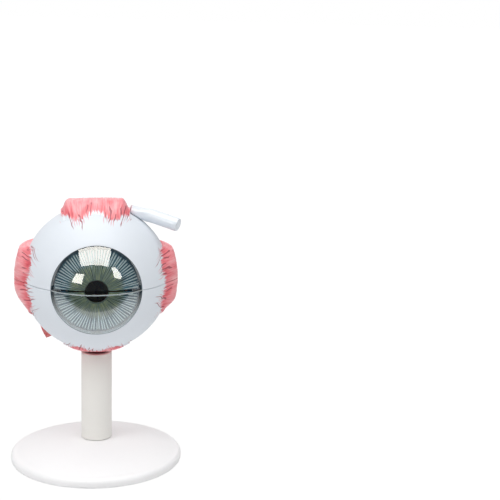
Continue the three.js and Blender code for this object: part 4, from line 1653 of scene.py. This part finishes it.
@dataclass
class Muscles:
    """The straight and oblique muscles on the outside of the globe."""

    sizes: EyeSizes
    coats: MuscleCoats
    thickness: float = 4.0
    top_thickness: float = 3.1
    lower_thickness: float = 1.2
    ramp: float = 21.0
    fringe: float = 0.3
    film: float = 0.02
    feather: float = 5.0
    grid: tuple[int, int] = (96, 84)
    least_height: float = 0.06
    shoulder_drop: float = 0.8
    relief: float = 0.15
    # Widths and lengths of the fibres and of their bundles.
    fibre: Point = (1.0, 13.0)
    bundle: Point = (3.4, 26.0)
    tooth: float = 1.5
    tooth_width: float = 0.9
    sharp: float = 50.0
    oblique_half_width: float = 5.0
    oblique_start: Place = (-0.7, 0.4, -0.592)
    oblique_end: Place = (-0.67, 0.05, -0.741)
    oblique_peak: float = 4.3
    # The cross position of the stump's ridge, from -1 to 1.
    oblique_ridge: float = -0.55
    oblique_relief: float = 0.12
    oblique_grid: tuple[int, int] = (40, 60)
    tendon: float = 3.5
    tendon_root_half_width: float = 5.5
    tendon_root_half_thickness: float = 1.9
    tendon_back: float = 4.0
    tendon_run: float = 23.7
    tendon_drop: float = 6.4
    tendon_forward: float = 12.0

    def build(self) -> None:
        """Builds every muscle."""
        sizes, coats = self.sizes, self.coats
        section = MuscleSection("painted_muscle_section", sizes).material()
        upright = [PaintedMuscle("painted_muscle_upright", sizes, coats, upright=True).material(), section]
        level = [PaintedMuscle("painted_muscle_level", sizes, coats, upright=False).material(), section]
        top = self.rectus(Towards.TOP, self.top_thickness, 0.9)
        self.finish("superior_rectus", top, upright, Half.UPPER)
        bottom = self.rectus(Towards.BOTTOM, self.lower_thickness, 0.0)
        cut_away(self.finish("inferior_rectus", bottom, upright, Half.LOWER), [sizes.socket_hole()])
        seam = Seam(sizes.height, sharp=self.sharp)
        for name, towards in (("medial_rectus", Towards.NOSE), ("lateral_rectus", Towards.TEMPLE)):
            whole = self.rectus(towards, self.thickness, 0.1)
            seam.finish_halves(name, whole, level, "sclera")
        self.build_oblique(section)
        self.build_tendon()

    def finish(self, name: str, bm: Mesh, materials: Sequence[Material], half: Half) -> bpy.types.Object:
        """Finishes a muscle of one half of the globe."""
        return finish_piece(name, bm, materials, f"{half.word}_sclera", self.sharp)

    def strap(
        self,
        ways: tuple[Vector, Vector, Vector],
        half_width: float,
        limits: Callable[[float], Point],
        thickness: Callable[[float, float, float], float],
        grid: tuple[int, int],
    ) -> Mesh:
        """Lays a strap on the globe.

        Args:
            ways: Directions of its start, of where it goes, and across it.
            half_width: Half its width on the globe.
            limits: Gives its first and last angle at a cross position from -1 to 1.
            thickness: Gives its height at an angle travelled, a cross position and a side angle.
            grid: Number of lanes across and rows along.

        Returns:
            A closed mesh. Its rear end has material index 1.
        """
        sizes = self.sizes
        start, goes, across = ways
        half_angle = math.asin(half_width / sizes.globe)
        bm = bmesh.new()
        bmesh.ops.create_grid(bm, x_segments=grid[0], y_segments=grid[1], size=1.0)
        spots = {vert: (vert.co.x, (vert.co.y + 1) / 2) for vert in bm.verts}
        copied = bmesh.ops.duplicate(bm, geom=bm.verts[:] + bm.edges[:] + bm.faces[:])
        twins = {vert: copied["vert_map"][vert] for vert in spots}
        for vert, (v, share) in spots.items():
            first, last = limits(v)
            degrees = first + (last - first) * share
            turn, side = math.radians(degrees), v * half_angle
            way = (start * math.cos(turn) + goes * math.sin(turn)) * math.cos(side)
            way += across * math.sin(side)
            vert.co = sizes.middle + way * (sizes.seat + thickness(degrees - first, v, side))
            twins[vert].co = sizes.middle + way * (sizes.globe + self.film)
        inner_faces = [f for f in copied["geom"] if isinstance(f, bmesh.types.BMFace)]
        bmesh.ops.reverse_faces(bm, faces=inner_faces)
        walls = bmesh.ops.bridge_loops(bm, edges=[e for e in bm.edges if e.is_boundary])
        turn = math.radians(limits(0.0)[1] - 1.0)
        rear = (sizes.seat * (start * math.cos(turn) + goes * math.sin(turn))).y
        for face in walls["faces"]:
            face.material_index = int(face.calc_center_median().y > rear)
        bmesh.ops.recalc_face_normals(bm, faces=bm.faces)
        return bm

    def rectus(self, towards: Towards, belly: float, flat: float) -> Mesh:
        """Lays one of the four straight muscles on the globe.

        Args:
            towards: The side of the globe that it lies on.
            belly: Its thickness.
            flat: 0 where its outside follows the globe, 1 where it is level across.

        Returns:
            Its closed mesh, with fibres in relief and a toothed front edge.
        """
        sizes = self.sizes
        goes = Vector(towards.value)
        if towards is Towards.TOP:
            goes.rotate(Matrix.Rotation(math.radians(sizes.top_lean), 3, "Y"))
        seed = 17.0 * list(Towards).index(towards)
        sign = -1 if towards in (Towards.TOP, Towards.TEMPLE) else 1
        half_width = sizes.muscle_half_width
        per_mm = math.degrees(1 / sizes.globe)

        def limits(v: float) -> Point:
            """Works out where the muscle starts and ends.

            Args:
                v: The cross position, from -1 to 1.

            Returns:
                The muscle's first and last angle.
            """
            lobes = sizes.muscle_front - sizes.muscle_notch * math.sin(math.pi * v) ** 2
            tooth = 0.5 + 0.5 * noise.noise(Vector((v * half_width / self.tooth_width, seed, 3.0)))
            return lobes + self.tooth * tooth * per_mm, sizes.muscle_rear

        def thickness(travelled: float, v: float, side: float) -> float:
            """Works out the muscle's thickness at a place on it.

            Args:
                travelled: The angle from the muscle's start.
                v: The cross position, from -1 to 1.
                side: The angle from the muscle's middle line, in radians.

            Returns:
                The thickness.
            """
            grown = smooth(0.0, self.ramp, travelled)
            rounded = 1 - self.shoulder_drop * smooth(towards.shoulders[v * sign > 0], 1.0, abs(v))
            level = flat * (sizes.seat + belly) * (1 / math.cos(side) - 1)
            height = self.fringe + (belly - self.fringe + level) * grown * rounded
            across, along, dip = v * half_width, travelled / per_mm, 0.0
            for (wide, long), share, shift in ((self.fibre, 1.0, 0.0), (self.bundle, 0.5, 5.0)):
                dip += share * self.relief * furrow(across / wide, along / long, seed + shift)
            sunk = (GAP + 0.5 * self.fringe) * (1 - smooth(0.0, self.feather, travelled))
            return max(self.least_height - GAP, height - sunk - dip * min(1.0, height / 1.2))

        return self.strap((SIGHT, goes, SIGHT.cross(goes)), half_width, limits, thickness, self.grid)

    def build_oblique(self, section: Material) -> None:
        """Builds the stump of the lower oblique muscle.

        Args:
            section: The material of its cut end.
        """
        start, end = Vector(self.oblique_start).normalized(), Vector(self.oblique_end)
        goes = (end - start * end.dot(start)).normalized()
        length = math.degrees(start.angle(end))
        across = start.cross(goes)

        def thickness(travelled: float, v: float, _: float) -> float:
            """Works out the stump's thickness at a place on it.

            Args:
                travelled: The angle from the stump's start.
                v: The cross position, from -1 to 1.

            Returns:
                The thickness.
            """
            grown = smooth(0.0, length, travelled)
            wedge = min((1 - v) / (1 - self.oblique_ridge), (1 + v) / (1 + self.oblique_ridge))
            height = self.fringe + (self.oblique_peak - self.fringe) * grown * wedge
            dip = self.oblique_relief * grown
            dip *= furrow(v * self.oblique_half_width, travelled / 12, 71.0)
            return max(self.least_height - GAP, height - dip)

        shape = (self.oblique_half_width, lambda _: (0.0, length), thickness, self.oblique_grid)
        bm = self.strap((start, goes, across), *shape)
        for face in bm.faces:
            middle = (face.calc_center_median() - self.sizes.middle).normalized()
            travelled = math.degrees(math.atan2(middle.dot(goes), middle.dot(start)))
            aside = math.degrees(math.asin(middle.dot(across)))
            ends = travelled > length - 0.2 and abs(face.normal.dot(goes)) > 0.7
            face.material_index = int(ends and abs(aside) < 20)
        paint = PaintedStump("painted_muscle_stump", self.sizes, self.coats, across, goes).material()
        self.finish("inferior_oblique", bm, [paint, section], Half.LOWER)

    def build_tendon(self) -> None:
        """Builds the upper oblique's tendon, flat at the globe and round at its cut end."""
        sizes = self.sizes
        tilt = math.asin((sizes.muscle_half_width + 2 * GAP) / sizes.globe)
        tilt += math.radians(sizes.top_lean)
        reach = leg(sizes.seat + self.tendon_root_half_thickness - GAP, self.tendon_back)
        root = Vector((reach * math.sin(tilt), self.tendon_back, reach * math.cos(tilt)))
        end = root + Vector((self.tendon_run, -self.tendon_forward, -self.tendon_drop))
        along, outwards = (end - root).normalized(), root.normalized()
        square_wide = along.cross(outwards).normalized()
        square_thick = square_wide.cross(along)
        bm = bmesh.new()
        loops: list[list[bmesh.types.BMVert]] = []
        for share in spaced(0.0, 1.0, 36):
            rounded = smooth(0.0, 0.5, share)
            wide = SIGHT.lerp(square_wide, rounded).normalized()
            thick = outwards.lerp(square_thick, rounded).normalized()
            half_width = self.tendon_root_half_width * (1 - rounded) + self.tendon * rounded
            half_thick = self.tendon_root_half_thickness * (1 - rounded) + self.tendon * rounded
            lip = 0.3 * smooth(0.985, 1.0, share)
            loops.append(bmesh.ops.create_circle(bm, segments=56, radius=1.0)["verts"])
            for vert in loops[-1]:
                x, y = vert.co.x, vert.co.y
                place = root.lerp(end, share)
                place = place + wide * (x * (half_width - lip)) + thick * (y * (half_thick - lip))
                # Near the muscle the tendon's underside spreads down onto the globe.
                spread = (1 - smooth(0.2, 0.5, share)) * math.sqrt(max(0.0, -y))
                height = max(place.length, sizes.seat)
                height += (sizes.globe + self.film - height) * spread
                vert.co = sizes.middle + place.normalized() * height
        for first, second in zip(loops, loops[1:]):
            bmesh.ops.bridge_loops(bm, edges=ring_edges(first) + ring_edges(second))
        for loop in (loops[0], loops[-1]):
            bmesh.ops.contextual_create(bm, geom=loop)
        bmesh.ops.remove_doubles(bm, verts=bm.verts, dist=1e-4)
        bmesh.ops.recalc_face_normals(bm, faces=bm.faces)
        # Moulded PVC, pale and glossier than the shells.
        plastic = MouldedPlastic("moulded_pvc_tendon", "#e6edf4", 0.3).material()
        name = "superior_oblique_tendon"
        finish_piece(name, bm, [plastic], "upper_sclera", sharp=45)


# The studio, in metres


@dataclass(frozen=True)
class PaperFloor(Finish):
    """White paper, lit so brightly that it keeps only a faint shadow of the model."""

    def surface(self, node: NodeMaker) -> Node:
        """Adds the surface's nodes.

        Args:
            node: Adds a node to the material.

        Returns:
            The surface's shader.
        """
        paper, white = node("BsdfDiffuse", "#f0f0f0"), node("Emission", "#ffffff", 1.06)
        path = node("LightPath").outputs
        seen = node("Math:MAXIMUM", path["Is Camera Ray"], path["Is Transmission Ray"])
        away = node("VectorMath:LENGTH", node("TexCoord").outputs["Object"])
        share = node("Math:MULTIPLY", seen, node("MapRange", away, 0.12, 0.45, 0.86, 1.0))
        return node("MixShader", share, paper, white)


@dataclass(frozen=True)
class Glow(Finish):
    """The glow of a lamp's soft box, of the table or of the room, which the clear plastic mirrors.

    Seen through clear plastic its strength is another one, if it is seen there at all. The glow of
    a table card rises from a place on the Y axis, and fades out towards a distance to both sides.
    """

    tint: str
    strength: float
    through: float | None = None
    soft: Point | None = None
    rise: float = 0.07
    fade: float = 0.24

    def surface(self, node: NodeMaker) -> Node:
        """Adds the surface's nodes.

        Args:
            node: Adds a node to the material.

        Returns:
            The surface's shader.
        """
        power: Any = self.strength
        if self.through is not None:
            beyond = node("LightPath").outputs["Is Transmission Ray"]
            power = node("MapRange", beyond, 0.0, 1.0, self.strength, self.through)
        glow = node("Emission", self.tint, power)
        if self.soft is None:
            return glow
        parts = node("SeparateXYZ", node("TexCoord").outputs["Object"])
        near, half = self.soft
        risen = node("MapRange", parts.outputs[1], near, near + self.rise, **SMOOTH)
        aside = node("Math:ABSOLUTE", parts.outputs[0])
        faded = node("MapRange", aside, half, half - self.fade, **SMOOTH)
        above = node("Math:SUBTRACT", 1.0, node("NewGeometry").outputs["Backfacing"])
        share = node("Math:MULTIPLY", faded, node("Math:MULTIPLY", risen, above))
        return node("MixShader", share, node("BsdfTransparent"), glow)


@dataclass
class Studio:
    """Camera, lamps, floor and backdrop."""

    sizes: EyeSizes
    distance: float = 0.600
    camera_height: float = 0.2322
    pitch: float = 11.36
    focal_px: float = 1195.5
    picture_px: float = 500.0
    object_px: float = 96.6
    sensor_mm: float = 36.0
    # Where the cornea is: this far in front of the column's axis, and above the globe's middle.
    cornea_ahead: float = 0.037
    cornea_above: float = 0.012
    card_distance: float = 0.7
    table_card_height: float = 0.013
    # The radius of the room, and the height and depth at which it is cut open.
    room: float = 1.6
    room_foot: float = 0.004
    room_back: float = 0.25
    floor_radius: float = 30.0

    def build(self) -> None:
        """Builds the camera, the lamps, the floor and the world."""
        self.build_camera()
        self.build_lamps()
        self.build_soft_boxes()
        self.build_room()
        floor = bmesh.new()
        bmesh.ops.create_circle(floor, cap_ends=True, segments=96, radius=self.floor_radius)
        new_object("floor", floor, [PaperFloor("white_paper_floor").material()])
        self.build_world()
        bpy.context.scene.view_settings.view_transform = "Standard"

    def build_camera(self) -> None:
        """Places the camera in front of the eye, and pans it until the eye stands at the left."""
        pan = math.asin((self.picture_px / 2 - self.object_px) / self.focal_px)
        data = bpy.data.cameras.new("camera")
        data.sensor_width = self.sensor_mm
        data.lens = self.focal_px * math.cos(pan) * self.sensor_mm / self.picture_px
        camera = bpy.data.objects.new("camera", data)
        tilt = Matrix.Rotation(math.radians(90 - self.pitch), 4, "X")
        spot = Matrix.Translation((0, -self.distance, self.camera_height))
        camera.matrix_world = spot @ tilt @ Matrix.Rotation(-pan, 4, "Y")
        bpy.context.scene.collection.objects.link(camera)
        bpy.context.scene.camera = camera

    def build_lamps(self) -> None:
        """Adds the overhead soft box and the front fills. They face the eye and stay unseen."""
        for name, place, size, watts in (
            ("lamp_top", (-0.05, -0.1, 1.3), (2.8, 2.8), 25.5),
            ("lamp_front", (0.05, -0.65, 0.8), (0.8, 0.5), 1.0),
            ("lamp_left", (-0.8, -0.5, 0.8), (0.6, 0.6), 3.0),
            ("lamp_right", (0.8, -0.5, 0.8), (0.6, 0.6), 1.7),
        ):
            data = bpy.data.lights.new(name, "AREA")
            data.shape = "RECTANGLE"
            data.size, data.size_y = size
            data.energy = watts
            lamp = bpy.data.objects.new(name, data)
            aim = (UP * (self.sizes.height * MM) - Vector(place)).to_track_quat("-Z", "Y")
            lamp.matrix_world = Matrix.Translation(place) @ aim.to_matrix().to_4x4()
            lamp.visible_glossy = lamp.visible_camera = lamp.visible_transmission = False
            bpy.context.scene.collection.objects.link(lamp)

    def stage_glow(self, bm: Mesh, glow: Glow) -> None:
        """Adds a glowing surface that shows only in reflections, and where its glow goes through.

        Args:
            bm: The surface's mesh, which is freed.
            glow: Its glow.
        """
        obj = new_object(glow.name, bm, [glow.material()])
        obj.visible_camera = obj.visible_diffuse = obj.visible_shadow = False
        obj.visible_transmission = glow.through is not None

    def build_soft_boxes(self) -> None:
        """Adds the three soft boxes that the cornea mirrors, by their corners' directions from it."""
        top = ((-0.51, -0.515, 0.686), (0.39, -0.581, 0.713), (0.35, 0.25, 0.86), (-0.46, 0.25, 0.86))
        left = (
            (-0.681, -0.572, 0.458),
            (-0.433, -0.751, 0.498),
            (-0.525, -0.837, 0.152),
            (-0.813, -0.558, 0.164),
        )
        right = (
            (0.502, -0.555, 0.663),
            (0.608, -0.458, 0.648),
            (0.81, -0.477, 0.342),
            (0.799, -0.546, 0.251),
            (0.607, -0.712, 0.353),
        )
        cornea = Vector((0, -self.cornea_ahead, self.sizes.height * MM + self.cornea_above))
        for name, ways, strength in (
            ("card_top", top, 5.8),
            ("card_left", left, 7.0),
            ("card_right", right, 6.5),
        ):
            units = [Vector(way).normalized() for way in ways]
            facing = sum(units, Vector()).normalized()
            bm = bmesh.new()
            reaches = [unit * (self.card_distance / unit.dot(facing)) for unit in units]
            corners = [bm.verts.new(cornea + reach) for reach in reaches]
            bmesh.ops.contextual_create(bm, geom=corners)
            self.stage_glow(bm, Glow(name, "#fdfaf2", strength))

    def build_room(self) -> None:
        """Adds the table and the dark room that the clear plastic mirrors."""
        # The lens mirrors the dark table through the cornea, which keeps the pupil black.
        for name, near, far, half, lift, tint, strength, through in (
            ("card_table", -0.15, 0.2, 0.34, 1.0, "#f4f8fa", 0.9, None),
            ("card_side", -0.17, 0.2, self.room, 0.4, "#30363b", 0.3, None),
            ("card_dark", -1.65, -0.1, self.room, 0.5, "#30363b", 0.3, 0.3),
        ):
            bm = bmesh.new()
            bmesh.ops.create_grid(bm, x_segments=1, y_segments=1, size=0.5)
            bmesh.ops.scale(bm, vec=(2 * half, far - near, 1.0), verts=bm.verts)
            middle = (0.0, (near + far) / 2, self.table_card_height * lift)
            bmesh.ops.translate(bm, vec=middle, verts=bm.verts)
            self.stage_glow(bm, Glow(name, tint, strength, through, (near, half)))
        bm = bmesh.new()
        bmesh.ops.create_uvsphere(bm, u_segments=32, v_segments=16, radius=self.room)
        # The room is open behind the model, so the model's outlines mirror the white background.
        for place, way in ((UP * self.room_foot, -UP), (-SIGHT * self.room_back, -SIGHT)):
            geom = bm.verts[:] + bm.edges[:] + bm.faces[:]
            bmesh.ops.bisect_plane(bm, geom=geom, plane_co=place, plane_no=way, clear_outer=True)
        self.stage_glow(bm, Glow("room", "#8b9096", 0.12, through=0.25))

    def build_world(self) -> None:
        """Sets a white background, and a softer light from it on the model."""
        world = bpy.data.worlds.new("world")
        world.use_nodes = True
        world.node_tree.nodes.clear()
        node = partial(add_node, world.node_tree)
        path = node("LightPath").outputs
        seen = node("Math:MAXIMUM", path["Is Camera Ray"], path["Is Glossy Ray"])
        seen = node("Math:MAXIMUM", seen, path["Is Transmission Ray"])
        strength = node("MapRange", seen, 0.0, 1.0, 0.15, 1.0)
        node("OutputWorld", node("Background", "#ffffff", strength))
        bpy.context.scene.world = world


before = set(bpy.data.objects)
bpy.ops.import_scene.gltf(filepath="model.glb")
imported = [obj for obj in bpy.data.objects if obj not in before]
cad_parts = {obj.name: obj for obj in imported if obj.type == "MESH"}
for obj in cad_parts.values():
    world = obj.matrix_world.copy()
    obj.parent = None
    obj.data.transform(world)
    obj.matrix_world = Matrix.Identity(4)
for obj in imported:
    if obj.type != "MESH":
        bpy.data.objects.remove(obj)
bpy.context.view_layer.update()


def main() -> None:
    """Builds the whole scene and reports each piece."""
    logging.basicConfig(level=logging.INFO, format="%(relativeCreated)6d ms  %(message)s")
    low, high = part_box("vitreous_body")
    sizes = EyeSizes(height=(low[2] + high[2]) / 2 / MM)
    LOG.info("The globe's middle is %.2f mm above the table", sizes.height)
    Studio(sizes).build()
    fibres = FibrePaint(sizes)
    coats = MuscleCoats(sizes, fibres.coordinates(), fibres.paint())
    Stand(sizes).build()
    OuterShell(sizes, coats).build()
    Muscles(sizes, coats).build()
    InnerEye(sizes).build()


if __name__ == "__main__":
    main()
